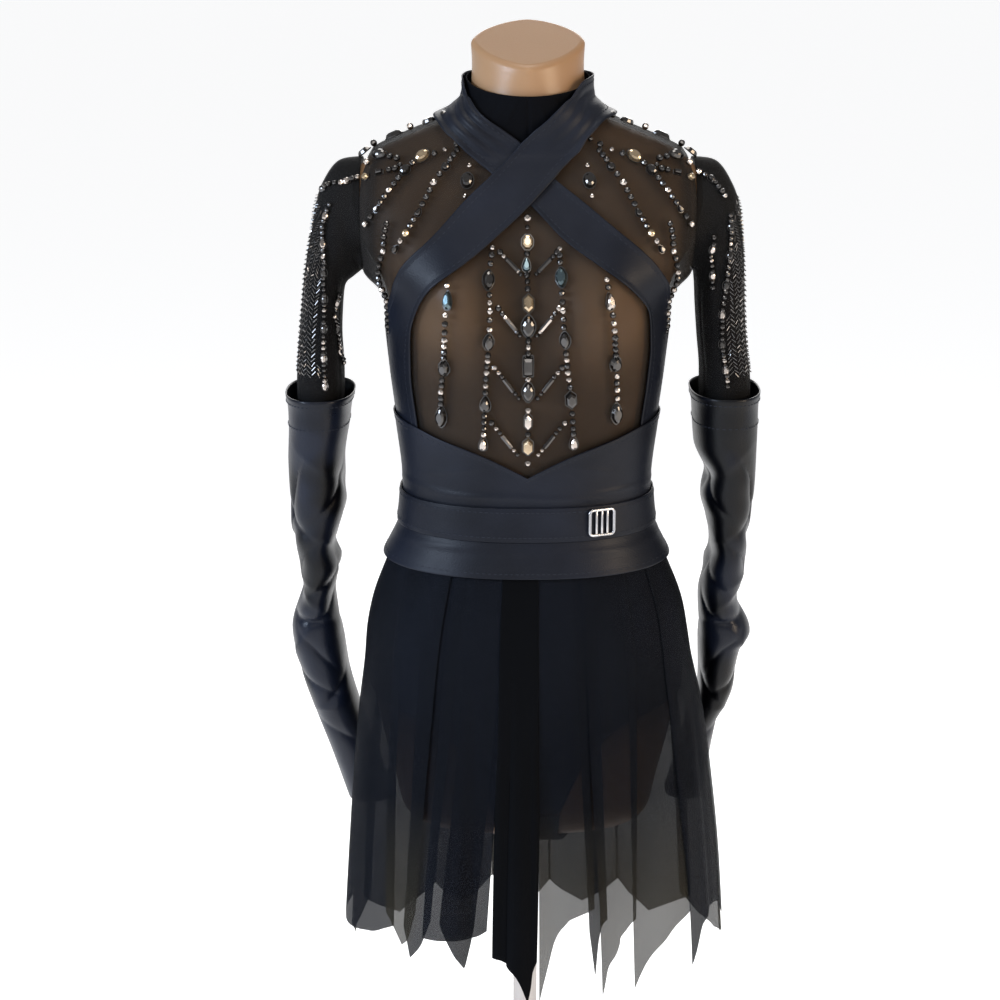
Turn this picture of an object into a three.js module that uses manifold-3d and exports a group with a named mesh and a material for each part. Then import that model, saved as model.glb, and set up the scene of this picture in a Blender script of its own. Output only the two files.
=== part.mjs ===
// Figure skating dress on a limbless dress form with a pole stand.
// Millimetres, +Z up. The dress faces -Y, so its wearer's left side is +X.
// Origin: middle of the stand's base, on the floor. "rise" is height above the waist,
// "around" is the angle about the pole's axis in degrees, 0 at the front and 90 at the
// wearer's left.

import * as THREE from "three";
import { mergeVertices } from "three/addons/utils/BufferGeometryUtils.js";
import Module from "manifold-3d";

const wasm = await Module();
wasm.setup();

// ---- Driving dimensions ----

const waistHeight = 1030; // floor to the middle of the belt
const meshCloth = 1.0; // sheer mesh, briefs and skirt
const coatedCloth = 1.2; // bands, yoke, basque and gauntlets
const beltCloth = 1.8;
const seamGap = 0.3; // between pieces that meet edge to edge
const beltHeight = 34;
const basqueHem = -53; // rise of the basque's lower edge
const armholePlane = 158.6; // centre plane to each armhole seam
const underarmEase = 11; // cloth drawn out to the sleeve under the arm
const underarmRise = 238;
const underarmSpread = 16;
const elbowRise = -148; // where the two lengths of a gauntlet meet, at the elbow's corner
const seamDip = 27; // how far the collar's seam dips at the front
const dipSpread = 34; // degrees
const rowGap = 3; // least height of a row of the bodice, near the collar
const briefsTop = -2;
const yokeHem = 5; // rise of the yoke's lower edge, under the belt
const skirtTop = -50; // rise the gores hang from, under the basque
const formBottom = -338;
const neckTop = 452; // rise of the middle of the slanted neck cap
const slantStart = 395; // rise where the neck starts to follow the cap's slant
const neckSlant = 23; // cap's height above and below its middle, back and front
const poleDiameter = 25;
const baseDiameter = 360;
const baseThickness = 12;
const socketDiameter = 46;
const socketHeight = 42;
const buckleWidth = 28;
const buckleHeight = 28;
const buckleAround = 41;
const buckleRise = 1;

// Distance from the figure to each layer's inner face.
const formInset = -2.8;
const briefsLift = 0.8;
const bodiceLift = 1.0;
const beadLift = 3.3;
const bandLift = 3.6;
const crossingLift = 2.4; // more for the over band, where it crosses the under band
const yokeLift = 5.5;
const basqueTopLift = 5.8;
const basqueHemLift = 8.3;
const beltLift = 7.7;
const skirtTopStep = 1.9; // between the skirt's layers at the basque
const skirtHemStep = 3.2; // and at the hem

// A row of figures for each section, with its columns named.
function table(columns, rows) {
  return rows.map((row) => Object.fromEntries(columns.map((name, i) => [name, row[i]])));
}

// The figure: half width, front and back depth, and the superellipse power of each section.
const figureSections = table(["rise", "half", "front", "back", "power"], [
  [-338, 100, 52, 56, 2.3],
  [-333, 118, 70, 76, 2.3],
  [-318, 130, 82, 91, 2.3],
  [-290, 136, 89, 101, 2.3],
  [-240, 148, 98, 116, 2.3],
  [-190, 157, 104, 122, 2.3],
  [-140, 157, 106, 116, 2.3],
  [-100, 149, 102, 106, 2.3],
  [-53, 134, 95, 94, 2.3],
  [-15, 120, 89, 85, 2.3],
  [20, 117, 88, 82, 2.3],
  [90, 124, 93, 84, 2.3],
  [130, 129, 97, 87, 2.35],
  [205, 137, 98, 93, 2.6],
  [235, 146, 94, 94, 3.0],
  [255, 157, 90, 94, 3.3],
  [280, 167, 83, 90, 3.5],
  [305, 171, 74, 84, 3.5],
  [325, 169, 64, 78, 3.3],
  [338, 160, 57, 72, 3.0],
  [350, 145, 53, 66, 2.7],
  [362, 120, 52, 61, 2.4],
  [374, 92, 54, 57, 2.2],
  [386, 70, 57, 54, 2.1],
  [400, 58, 58, 50, 1.9],
  [430, 54, 58, 48, 1.8],
  [480, 54, 58, 48, 1.8],
]);
const bust = { depth: 26, apart: 68, width: 40, rise: 203, above: 52, below: 38 };

// The hanging skirt's surface, wider on the wearer's left.
const skirtSections = table(["rise", "right", "left", "front", "back"], [
  [-40, 131, 131, 94.5, 93.3],
  [-56, 137.4, 137.4, 98, 97.8],
  [-105, 155, 156, 106, 111],
  [-132, 160, 161, 109, 118],
  [-158, 162, 165, 111, 122],
  [-212, 168, 176, 113, 127],
  [-300, 174, 187, 118, 131],
  [-378, 179, 196, 123, 134],
  [-510, 187, 206, 130, 138],
]);
const skirtPower = 2.3;
const gauntletPower = 2.4;
const foldStart = 150; // depth below the waist where the skirt's folds begin
const foldFull = 440;

// Folds that run down the skirt, deepest at the hem.
const skirtFolds = table(["around", "spread", "depth"], [
  [-74, 9, 7],
  [-52, 7, -6],
  [-36, 6, 6],
  [-20, 5, -5],
  [-4, 5, 6],
  [12, 5, -6],
  [26, 6, 7],
  [44, 6, -6],
  [60, 7, 7],
  [80, 8, -5],
  [104, 9, 4],
  [126, 9, -6],
  [148, 9, 7],
  [172, 9, -6],
  [196, 9, 7],
  [220, 9, -6],
  [246, 9, 5],
  [266, 8, -5],
]);

// Gores: the part of the waist that each one hangs from, its spread at the hem, its layer
// (0 lies under 1 and 1 under 2), and the rise of its hem at five places across.
const goreColumns = ["name", "top0", "top1", "hem0", "hem1", "layer", "a", "b", "c", "d", "e"];
const gores = table(goreColumns, [
  ["skirt_front_1", -92, -58, -90, -56, 1, -428, -434, -436, -433, -420],
  ["skirt_front_2", -62, -40, -58, -47, 2, -405, -424, -438, -430, -400],
  ["skirt_front_3", -48, -32, -53, -40, 0, -420, -452, -441, -425, -405],
  ["skirt_front_4", -38, -8, -43, -18, 1, -424, -422, -421, -419, -412],
  ["skirt_front_5", -28, -10, -36, -24, 0, -405, -425, -440, -453, -410],
  ["skirt_front_centre", -14, 6, -14, 4, 2, -437, -441, -452, -483, -440],
  ["skirt_front_6", 5, 30, 5, 28, 1, -484, -440, -408, -393, -385],
  ["skirt_front_7", 24, 34, 26, 34, 0, -410, -458, -420, -405, -400],
  ["skirt_front_8", 28, 50, 30, 46, 2, -478, -446, -428, -414, -404],
  ["skirt_front_9", 46, 66, 45, 62, 1, -480, -450, -430, -414, -405],
  ["skirt_front_10", 62, 92, 61, 90, 2, -462, -425, -418, -424, -448],
  ["skirt_back_1", 88, 118, 88, 117, 1, -466, -478, -488, -484, -468],
  ["skirt_back_2", 114, 144, 114, 142, 2, -470, -486, -500, -486, -470],
  ["skirt_back_3", 140, 170, 141, 168, 1, -470, -490, -502, -490, -472],
  ["skirt_back_4", 166, 196, 167, 194, 2, -474, -492, -506, -492, -474],
  ["skirt_back_5", 192, 222, 193, 220, 1, -470, -490, -502, -490, -470],
  ["skirt_back_6", 218, 248, 219, 247, 2, -470, -486, -500, -486, -468],
  ["skirt_back_7", 244, 273, 245, 272, 0, -466, -482, -490, -478, -460],
]);

// Bands, from the middle of the back of the neck round to the side of the waist:
// the two edges of each, with the crossing at the front. "over" is 1 where the over band
// lies on the under band.
const bandColumns = ["upAround", "upRise", "lowAround", "lowRise", "over"];
const overBandEdges = table(bandColumns, [
  [179.5, 420, 179.5, 388, 0.6],
  [150, 421, 150, 386, 0.6],
  [115, 421, 115, 384, 0.6],
  [84, 419, 88, 379, 0.6],
  [57, 415, 64, 376, 0.6],
  [37, 399, 50, 365, 0.8],
  [17, 383, 42, 350, 1],
  [-7, 360, 25, 330, 1],
  [-28, 330, 4, 306, 1],
  [-39, 306, -18, 277, 1],
  [-48, 272, -33, 252, 0.5],
  [-56, 248, -46, 228, 0],
  [-62, 226, -53, 205, 0],
  [-72, 202, -57, 185, 0],
  [-84, 172, -59, 158, 0],
  [-89, 138, -60, 132, 0],
  [-89, 108, -60, 106, 0],
  [-89, 76, -60, 76, 0],
]);
const underBandEdges = table(bandColumns, [
  [-179.5, 420, -179.5, 388, 0.6],
  [-150, 421, -150, 386, 0.6],
  [-115, 421, -115, 384, 0.6],
  [-84, 416, -90, 378, 0.6],
  [-64, 400, -70, 372, 0.6],
  [-46, 388, -57, 361, 0.6],
  [-25, 374, -44, 344, 0.3],
  [-6, 358, -27, 328, 0],
  [18, 330, 4, 300, 0],
  [36, 304, 21, 273, 0],
  [48, 274, 36, 250, 0],
  [57, 248, 48, 227, 0],
  [66, 223, 57, 205, 0],
  [75, 198, 60, 184, 0],
  [85, 168, 62, 158, 0],
  [89, 138, 62, 132, 0],
  [89, 108, 62, 106, 0],
  [89, 76, 62, 76, 0],
]);

// Upper sleeves: each ring's underarm end (in) and outer end, its middle and depth along Y.
const sleeveColumns = ["inX", "inRise", "outX", "outRise", "middle", "depth", "power"];
const rightSleeveRings = table(sleeveColumns, [
  [160.5, 233, 182, 337, 3, 104, 2.4],
  [164, 230, 197, 317, 4, 108, 2.4],
  [169, 226, 204, 296, 6, 112, 2.5],
  [175, 221, 209, 268, 8, 115, 2.6],
  [179, 212, 214, 234, 9, 117, 2.7],
  [181, 196, 218, 199, 9, 118, 2.7],
  [182.5, 166, 222, 162, 9, 118, 2.7],
  [181, 134, 225, 131, 10, 116, 2.7],
  [181, 102, 226, 102, 10, 104, 2.6],
]);
const leftSleeveRings = table(sleeveColumns, [
  [160.5, 234, 182, 337, 3, 104, 2.4],
  [161.5, 232, 197, 316, 4, 108, 2.4],
  [162.5, 229, 204, 295, 6, 112, 2.5],
  [163.5, 223, 207, 266, 8, 115, 2.6],
  [164.5, 212, 209, 232, 9, 117, 2.7],
  [165.5, 194, 210.5, 196, 9, 118, 2.7],
  [168, 164, 213.5, 161, 9, 118, 2.7],
  [171, 134, 218, 132, 10, 116, 2.7],
  [171, 102, 220, 102, 10, 104, 2.6],
]);

// Gauntlets: inner and outer edge of each ring, its middle and depth along Y. They hang
// empty, bent at the elbow, with the wrists behind the skirt.
const gauntletColumns = ["rise", "in", "out", "middle", "depth"];
const rightGauntletRings = table(gauntletColumns, [
  [112, 172, 236, 9, 122],
  [80, 176, 236, 12, 116],
  [38, 182, 238, 17, 104],
  [-1, 181, 238, 21, 97],
  [-35, 190, 238, 26, 94],
  [-50, 194, 234, 29, 93],
  [-74, 189, 229, 34, 92],
  [-89, 193, 227, 38, 90],
  [-106, 196, 231, 42, 88],
  [-147, 190, 242, 52, 84],
  [-196, 185, 235, 64, 78],
  [-247, 174, 222, 80, 70],
  [-300, 160, 208, 101, 65],
  [-363, 143, 192, 122, 60],
]);
const leftGauntletRings = table(gauntletColumns, [
  [114, 163, 228, 9, 122],
  [80, 165, 229, 12, 116],
  [58, 167, 229, 14, 110],
  [26, 179, 229, 18, 102],
  [5, 175, 229, 21, 97],
  [-24, 182, 227, 26, 94],
  [-56, 187, 224, 32, 92],
  [-80, 182, 221, 37, 91],
  [-112, 178, 218, 44, 88],
  [-151, 179, 233, 53, 84],
  [-168, 180, 222, 57, 82],
  [-213, 182, 219, 68, 77],
  [-263, 172, 203, 84, 69],
  [-310, 165, 199, 107, 64],
  [-363, 154, 194, 131, 60],
]);

// The briefs' leg line: rise of the edge at each angle from the middle.
const legLine = table(["around", "front", "back"], [
  [0, -300, -300],
  [20, -300, -300],
  [27, -267, -292],
  [31, -246, -282],
  [37, -227, -268],
  [47, -207, -248],
  [60, -197, -224],
  [71, -190, -204],
  [90, -186, -186],
]);

// The yoke's top edge, a V at the front and level behind.
const yokeLine = table(["around", "rise"], [
  [0, 47],
  [8, 54],
  [25, 68],
  [47, 82],
  [62, 91],
  [80, 96],
  [180, 92],
]);

// The gusset's way under the form, round the pole: its middle line and half width.
const gussetPath = table(["y", "rise", "centre", "half"], [
  [-88, -300.4, 0, 33],
  [-84, -318, 0, 32],
  [-72, -333, 6, 28],
  [-52, -338.6, 18, 22],
  [-26, -338.8, 32, 16],
  [26, -338.8, 32, 16],
  [56, -338.6, 18, 24],
  [78, -333, 6, 32],
  [93, -318, 0, 38],
  [100, -300.4, 0, 42],
]);

// Bead strands on the bodice. Stones are given by their place from the centre plane, their
// rise, length along the strand and width; a thin corded line runs between them.
const stoneColumns = ["x", "rise", "length", "width"];
const centreStrand = table(stoneColumns, [
  [-1, 292, 8, 8],
  [-1, 271, 15, 12],
  [-2, 251, 14, 11],
  [-1, 234, 8, 8],
  [0, 216, 19, 12],
  [0, 195, 22, 14],
  [0, 176, 9, 9],
  [0, 157, 20, 10],
  [0, 132, 20, 12],
  [0, 114, 8, 8],
  [0, 103, 18, 10],
  [0, 78, 18, 12],
  [0, 60, 8, 8],
]);
const innerRightStrand = table(stoneColumns, [
  [-34, 266, 6, 6],
  [-38, 238, 20, 12],
  [-38, 211, 8, 8],
  [-38, 182, 18, 11],
  [-39, 152, 8, 8],
  [-40, 120, 16, 14],
  [-41, 94, 8, 8],
  [-42, 80, 14, 12],
]);
const innerLeftStrand = table(stoneColumns, [
  [29, 265, 6, 6],
  [31, 240, 20, 12],
  [34, 211, 8, 8],
  [35, 184, 18, 11],
  [37, 152, 8, 8],
  [40, 124, 18, 12],
  [42, 94, 8, 8],
  [43, 81, 14, 12],
]);
const outerRightStrand = table(stoneColumns, [
  [-74, 233, 6, 6],
  [-74, 221, 18, 12],
  [-76, 186, 8, 8],
  [-78, 154, 18, 12],
  [-80, 130, 7, 7],
  [-81, 104, 22, 12],
]);
const outerLeftStrand = table(stoneColumns, [
  [71, 238, 6, 6],
  [74, 220, 17, 12],
  [78, 188, 8, 8],
  [81, 158, 17, 12],
  [82, 132, 7, 7],
  [83, 107, 22, 12],
]);
// Chevron arms: the strand place they spring from and the place they meet the centre.
const chevrons = table(["outRise", "outX", "inRise", "inX"], [
  [262, 27, 241, 6],
  [213, 30, 185, 7],
  [157, 32, 124, 7],
  [102, 34, 68, 8],
]);
// Shoulder strands on the wearer's right; the left side mirrors them.
const longRay = table(stoneColumns, [
  [66, 352, 6, 6],
  [77, 337, 9, 8],
  [88, 322, 8, 8],
  [102, 297, 9, 8],
  [113, 278, 8, 8],
  [123, 264, 9, 8],
]);
const ringStone = table(stoneColumns, [
  [55, 338, 5, 5],
  [57, 325, 16, 12],
  [59, 311, 5, 5],
]);
const shortRay = table(stoneColumns, [
  [99, 346, 16, 11],
  [115, 333, 12, 10],
  [129, 315, 8, 7],
  [141, 299, 8, 7],
  [150, 285, 8, 7],
]);
const armLine = table(stoneColumns, [
  [150, 337, 7, 7],
  [139, 345, 16, 10],
  [122, 342, 8, 7],
]);

// ---- Curves and surfaces ----

// A smooth curve through two columns of a table that never overshoots its rows.
function curve(rows, key, value) {
  const sorted = [...rows].sort((first, second) => first[key] - second[key]);
  const x = sorted.map((row) => row[key]);
  const y = sorted.map((row) => row[value]);
  const step = x.slice(1).map((next, i) => next - x[i]);
  const slope = step.map((size, i) => (y[i + 1] - y[i]) / size);
  const tangent = y.map((_, i) => {
    if (i === 0) return slope[0];
    if (i === step.length) return slope[i - 1];
    if (slope[i - 1] * slope[i] <= 0) return 0;
    const before = 2 * step[i] + step[i - 1];
    const after = step[i] + 2 * step[i - 1];
    return (before + after) / (before / slope[i - 1] + after / slope[i]);
  });
  return (at) => {
    const place = THREE.MathUtils.clamp(at, x[0], x[x.length - 1]);
    let i = 0;
    while (i < step.length - 1 && place > x[i + 1]) i += 1;
    const t = (place - x[i]) / step[i];
    const near = y[i] * (1 + 2 * t) + tangent[i] * step[i] * t;
    const far = y[i + 1] * (3 - 2 * t) - tangent[i + 1] * step[i] * (1 - t);
    return near * (1 - t) ** 2 + far * t ** 2;
  };
}

// One curve for each of a table's columns, by row order or by a key column.
function curves(rows, columns, key) {
  const keyed = key ? rows : rows.map((row, i) => ({ ...row, order: i / (rows.length - 1) }));
  return Object.fromEntries(columns.map((name) => [name, curve(keyed, key ?? "order", name)]));
}

const figure = curves(figureSections, ["half", "front", "back", "power"], "rise");
const skirt = curves(skirtSections, ["right", "left", "front", "back"], "rise");
const leg = curves(legLine, ["front", "back"], "around");
const yokeTop = curve(yokeLine, "around", "rise");

const bell = (distance, spread) => Math.exp(-((distance / spread) ** 2));
const radians = THREE.MathUtils.degToRad;

function bustDepth(x, rise) {
  const height = rise - bust.rise;
  const level = bell(height, height > 0 ? bust.above : bust.below);
  return bust.depth * level * (bell(x - bust.apart, bust.width) + bell(x + bust.apart, bust.width));
}

// Distance from the axis to a superellipse in the direction of an angle.
function reach(around, side, depth, power) {
  const across = Math.abs(Math.sin(radians(around))) / side;
  const along = Math.abs(Math.cos(radians(around))) / depth;
  return (across ** power + along ** power) ** (-1 / power);
}

function figurePoint(around, rise) {
  const forward = Math.cos(radians(around));
  const depth = forward > 0 ? figure.front(rise) : figure.back(rise);
  const radius = reach(around, figure.half(rise), depth, figure.power(rise));
  const x = radius * Math.sin(radians(around));
  const swell = bustDepth(x, rise) * THREE.MathUtils.clamp(3 * forward, 0, 1);
  return new THREE.Vector3(x, -radius * forward - swell, waistHeight + rise);
}

function skirtPoint(around, rise) {
  const forward = Math.cos(radians(around));
  const side = Math.sin(radians(around)) > 0 ? skirt.left(rise) : skirt.right(rise);
  const depth = forward > 0 ? skirt.front(rise) : skirt.back(rise);
  const fall = THREE.MathUtils.smoothstep(-rise, foldStart, foldFull);
  let radius = reach(around, side, depth, skirtPower);
  for (const fold of skirtFolds) {
    const turn = ((around - fold.around + 540) % 360) - 180;
    radius += fold.depth * fall * bell(turn, fold.spread);
  }
  return new THREE.Vector3(
    radius * Math.sin(radians(around)),
    -radius * forward,
    waistHeight + rise,
  );
}

// A point lifted off a surface along its normal.
function lifted(surface, around, rise, lift) {
  const reachOut = 0.4;
  const turn = surface(around + reachOut, rise).sub(surface(around - reachOut, rise));
  const climb = surface(around, rise + reachOut).sub(surface(around, rise - reachOut));
  return surface(around, rise).addScaledVector(turn.cross(climb).normalize(), lift);
}

const easeAt = (rise) => underarmEase * bell(rise - underarmRise, underarmSpread);

// A point of the bodice's cloth: the figure, drawn out under the arms.
function onBodice(around, rise, lift) {
  const side = Math.sin(radians(around)) ** 8;
  return lifted(figurePoint, around, rise, lift + easeAt(rise) * side);
}

const onSkirt = (around, rise, lift) => lifted(skirtPoint, around, rise, lift);

// The last value from inside towards outside that a test still accepts.
function lastWithin(inside, outside, isWithin) {
  const halvings = 24;
  let near = inside;
  let far = outside;
  for (let i = 0; i < halvings; i += 1) {
    const middle = (near + far) / 2;
    if (isWithin(middle)) near = middle;
    else far = middle;
  }
  return near;
}

// The angle on the front or back where the bodice meets the armhole's plane.
function armholeAngle(rise, isBack) {
  const middleOfCloth = bodiceLift + meshCloth / 2;
  const isWithin = (turn) =>
    Math.abs(onBodice(isBack ? 180 - turn : turn, rise, middleOfCloth).x) <= armholePlane;
  return isWithin(90) ? 90 : lastWithin(30, 90, isWithin);
}

// ---- Solids ----

const dress = new THREE.Group();

const finish = (color, roughness, metalness = 0) => ({ color, roughness, metalness });
const finishes = {
  mesh: finish(0x3a2c24, 0.8),
  skirtMesh: finish(0x14161c, 0.8),
  stretch: finish(0x101218, 0.6),
  coated: finish(0x23262e, 0.45),
  beads: finish(0x4a4742, 0.2, 0.7),
  formSkin: finish(0xc99f7c, 0.4),
  steel: finish(0x9a9a9a, 0.3, 0.9),
};

function addMesh(name, geometry, look) {
  const mesh = new THREE.Mesh(geometry, new THREE.MeshStandardMaterial(look));
  mesh.name = name;
  dress.add(mesh);
  return mesh;
}

// A closed body from points and triangles, turned inside out where its volume is negative.
function closedGeometry(points, triangles) {
  let volume = 0;
  for (const [a, b, c] of triangles) volume += points[a].dot(points[b].clone().cross(points[c]));
  const ordered = volume < 0 ? triangles.map(([a, b, c]) => [a, c, b]) : triangles;
  const geometry = new THREE.BufferGeometry();
  geometry.setAttribute(
    "position",
    new THREE.Float32BufferAttribute(points.flatMap((point) => point.toArray()), 3),
  );
  geometry.setIndex(ordered.flat());
  geometry.computeVertexNormals();
  return geometry;
}

// To and from a solid that can be joined.
function toSolid(geometry) {
  geometry.deleteAttribute("normal");
  geometry.deleteAttribute("uv");
  const merged = mergeVertices(geometry, 1e-4);
  return new wasm.Manifold(new wasm.Mesh({
    numProp: 3,
    vertProperties: new Float32Array(merged.getAttribute("position").array),
    triVerts: new Uint32Array(merged.getIndex().array),
  }));
}

function fromSolid(solid) {
  const mesh = solid.getMesh();
  const geometry = new THREE.BufferGeometry();
  geometry.setAttribute("position", new THREE.BufferAttribute(new Float32Array(mesh.vertProperties), 3));
  geometry.setIndex(new THREE.BufferAttribute(new Uint32Array(mesh.triVerts), 1));
  return geometry;
}

// A cloth wall between an outer and an inner sheet of points, rows by columns. A ring joins
// its last column to its first; its two free edges are rimmed, and so are a panel's four.
function clothWall(outer, inner, isRing) {
  const rows = outer.length;
  const columns = outer[0].length;
  const points = [...outer.flat(), ...inner.flat()];
  const at = (side, row, column) => (side * rows + row) * columns + (column % columns);
  const triangles = [];
  const quad = (a, b, c, d) => triangles.push([a, b, c], [a, c, d]);
  const spans = isRing ? columns : columns - 1;
  for (let column = 0; column < spans; column += 1) {
    const next = column + 1;
    for (let row = 0; row < rows - 1; row += 1) {
      quad(at(0, row, column), at(0, row, next), at(0, row + 1, next), at(0, row + 1, column));
      quad(at(1, row, column), at(1, row + 1, column), at(1, row + 1, next), at(1, row, next));
    }
    quad(at(0, 0, next), at(0, 0, column), at(1, 0, column), at(1, 0, next));
    const last = rows - 1;
    quad(at(0, last, column), at(0, last, next), at(1, last, next), at(1, last, column));
  }
  if (!isRing) {
    for (let row = 0; row < rows - 1; row += 1) {
      const end = columns - 1;
      quad(at(0, row, 0), at(0, row + 1, 0), at(1, row + 1, 0), at(1, row, 0));
      quad(at(0, row + 1, end), at(0, row, end), at(1, row, end), at(1, row + 1, end));
    }
  }
  return closedGeometry(points, triangles);
}

// A wall whose point at each column u and row v (both 0 to 1) and lift is given by a function.
function addWall(name, look, { columns, rows, ring = false, lift, thickness, point }) {
  const sheet = (height) =>
    Array.from({ length: rows + 1 }, (_, row) =>
      Array.from({ length: ring ? columns : columns + 1 }, (__, column) =>
        point(column / columns, row / rows, height),
      ),
    );
  return addMesh(name, clothWall(sheet(lift + thickness), sheet(lift), ring), look);
}

// A value part of the way through a list, read as a broken line.
function along(list, part) {
  const place = part * (list.length - 1);
  const index = Math.min(Math.floor(place), list.length - 2);
  return THREE.MathUtils.lerp(list[index], list[index + 1], place - index);
}

const mix = THREE.MathUtils.lerp;

// ---- Stand and form ----

function lathe(profile, segments) {
  const geometry = new THREE.LatheGeometry(profile.map(([r, z]) => new THREE.Vector2(r, z)), segments);
  geometry.rotateX(Math.PI / 2);
  geometry.deleteAttribute("normal");
  geometry.deleteAttribute("uv");
  return mergeVertices(geometry, 1e-4);
}

function addStand() {
  const base = baseDiameter / 2;
  const socket = socketDiameter / 2;
  const pole = poleDiameter / 2;
  const socketFoot = baseThickness + seamGap;
  const socketTop = socketFoot + socketHeight;
  const poleTop = waistHeight + formBottom - seamGap;
  const bevel = 3;
  const baseSides = 40;
  const poleSides = 20;
  addMesh("stand_base", lathe([
    [0, 0], [base, 0], [base, baseThickness - bevel], [base - bevel, baseThickness],
    [0, baseThickness],
  ], baseSides), finishes.steel);
  addMesh("stand_socket", lathe([
    [0, socketFoot], [socket, socketFoot], [socket, socketTop - bevel],
    [socket - bevel, socketTop], [0, socketTop],
  ], poleSides), finishes.steel);
  addMesh("stand_pole", lathe([
    [0, socketTop + seamGap], [pole, socketTop + seamGap], [pole, poleTop], [0, poleTop],
  ], poleSides), finishes.steel);
}

function addForm() {
  const columns = 24;
  const rises = [-338, -333, -318, -290, -240, -190, -140, -100, -53, -15, 20, 90, 130, 165,
    190, 212, 235, 255, 280, 305, 325, 338, 350, 362, 374, 386, 400, 450, 452];
  const rimInset = 4;
  const rings = rises.map((rise, row) => Array.from({ length: columns }, (_, column) => {
    const inset = row === rises.length - 1 ? formInset - rimInset : formInset;
    const point = lifted(figurePoint, (360 * column) / columns, rise, inset);
    const slant = THREE.MathUtils.smoothstep(rise, slantStart, neckTop);
    point.z = Math.max(point.z, waistHeight + formBottom);
    point.z += slant * ((neckSlant * point.y) / figure.front(neckTop));
    return point;
  }));
  for (const point of rings[0]) point.z = waistHeight + formBottom;
  const points = rings.flat();
  const triangles = [];
  const at = (row, column) => row * columns + (column % columns);
  for (let row = 0; row < rises.length - 1; row += 1) {
    for (let column = 0; column < columns; column += 1) {
      triangles.push([at(row, column), at(row, column + 1), at(row + 1, column + 1)]);
      triangles.push([at(row, column), at(row + 1, column + 1), at(row + 1, column)]);
    }
  }
  for (const row of [0, rises.length - 1]) {
    const ring = rings[row];
    const middle = ring.reduce((sum, point) => sum.add(point), new THREE.Vector3());
    points.push(middle.divideScalar(columns));
    const hub = points.length - 1;
    for (let column = 0; column < columns; column += 1) {
      const [first, second] = row === 0 ? [column + 1, column] : [column, column + 1];
      triangles.push([at(row, first), at(row, second), hub]);
    }
  }
  addMesh("form_body", closedGeometry(points, triangles), finishes.formSkin);
}

// ---- Bodice and collar ----

// The collar's seam dips at the front, into the V of the bands.
function collarSeam(around) {
  const turn = ((around + 180) % 360) - 180;
  return 385 - 7 * Math.cos(radians(around)) - seamDip * bell(turn, dipSpread);
}

const collarTop = (around) => 417 - 14 * Math.cos(radians(around));

function addBodice() {
  const bodiceRises = [2, 46, 90, 126, 152, 172, 188, 204, 220, 236, 248, 258, 272, 290, 310,
    326, 338, 348, 358, 368];
  const panel = (name, isBack, columns, rises) => {
    const cap = armholePlane - seamGap / 2;
    addWall(name, finishes.mesh, {
      columns,
      rows: rises.length,
      lift: bodiceLift,
      thickness: meshCloth,
      point: (u, v, lift) => {
        const row = Math.round(v * rises.length);
        const across = mix(-1, 1, u);
        const edge = row < rises.length ? armholeAngle(rises[row], isBack) : 90;
        const turn = isBack ? 180 - across * edge : across * edge;
        const highest = collarSeam(turn) - seamGap - rowGap * (rises.length - row);
        const rise = row < rises.length ? Math.min(rises[row], highest) : highest;
        const point = onBodice(turn, rise, lift);
        point.x = THREE.MathUtils.clamp(point.x, -cap, cap);
        const seam = seamGap / 2;
        point.y = isBack ? Math.max(point.y, seam) : Math.min(point.y, -seam);
        return point;
      },
    });
  };
  panel("bodice_front", false, 22, bodiceRises);
  const backRises = bodiceRises.filter((rise) => ![90, 152, 172, 204].includes(rise));
  panel("bodice_back", true, 18, backRises);
}

function addCollar() {
  addWall("collar", finishes.stretch, {
    columns: 28,
    rows: 3,
    ring: true,
    lift: bodiceLift,
    thickness: meshCloth,
    point: (u, v, lift) => {
      const around = 360 * u;
      return onBodice(around, mix(collarSeam(around) + seamGap, collarTop(around), v), lift);
    },
  });
}

// ---- Bands, yoke, belt and basque ----

function addBand(name, edges) {
  const line = curves(edges, ["upAround", "upRise", "lowAround", "lowRise", "over"]);
  addWall(name, finishes.coated, {
    columns: 3,
    rows: 30,
    lift: bandLift,
    thickness: coatedCloth,
    point: (u, v, lift) => {
      const around = mix(line.lowAround(v), line.upAround(v), u);
      const rise = mix(line.lowRise(v), line.upRise(v), u);
      return onBodice(around, rise, lift + crossingLift * line.over(v));
    },
  });
}

function addYoke() {
  addWall("waist_yoke", finishes.coated, {
    columns: 36,
    rows: 3,
    ring: true,
    lift: yokeLift,
    thickness: coatedCloth,
    point: (u, v, lift) => {
      const around = 360 * u;
      const top = yokeTop(around > 180 ? 360 - around : around);
      return lifted(figurePoint, around, mix(yokeHem, top, v), lift);
    },
  });
}

function addBasque() {
  addWall("basque", finishes.coated, {
    columns: 36,
    rows: 1,
    ring: true,
    lift: 0,
    thickness: coatedCloth,
    point: (u, v, lift) => {
      const rise = mix(basqueHem, -beltHeight / 2 - seamGap, v);
      return lifted(figurePoint, 360 * u, rise, mix(basqueHemLift, basqueTopLift, v) + lift);
    },
  });
}

function addBelt() {
  addWall("belt", finishes.coated, {
    columns: 36,
    rows: 1,
    ring: true,
    lift: beltLift,
    thickness: beltCloth,
    point: (u, v, lift) =>
      lifted(figurePoint, 360 * u, mix(-beltHeight / 2, beltHeight / 2, v), lift),
  });
}

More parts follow.
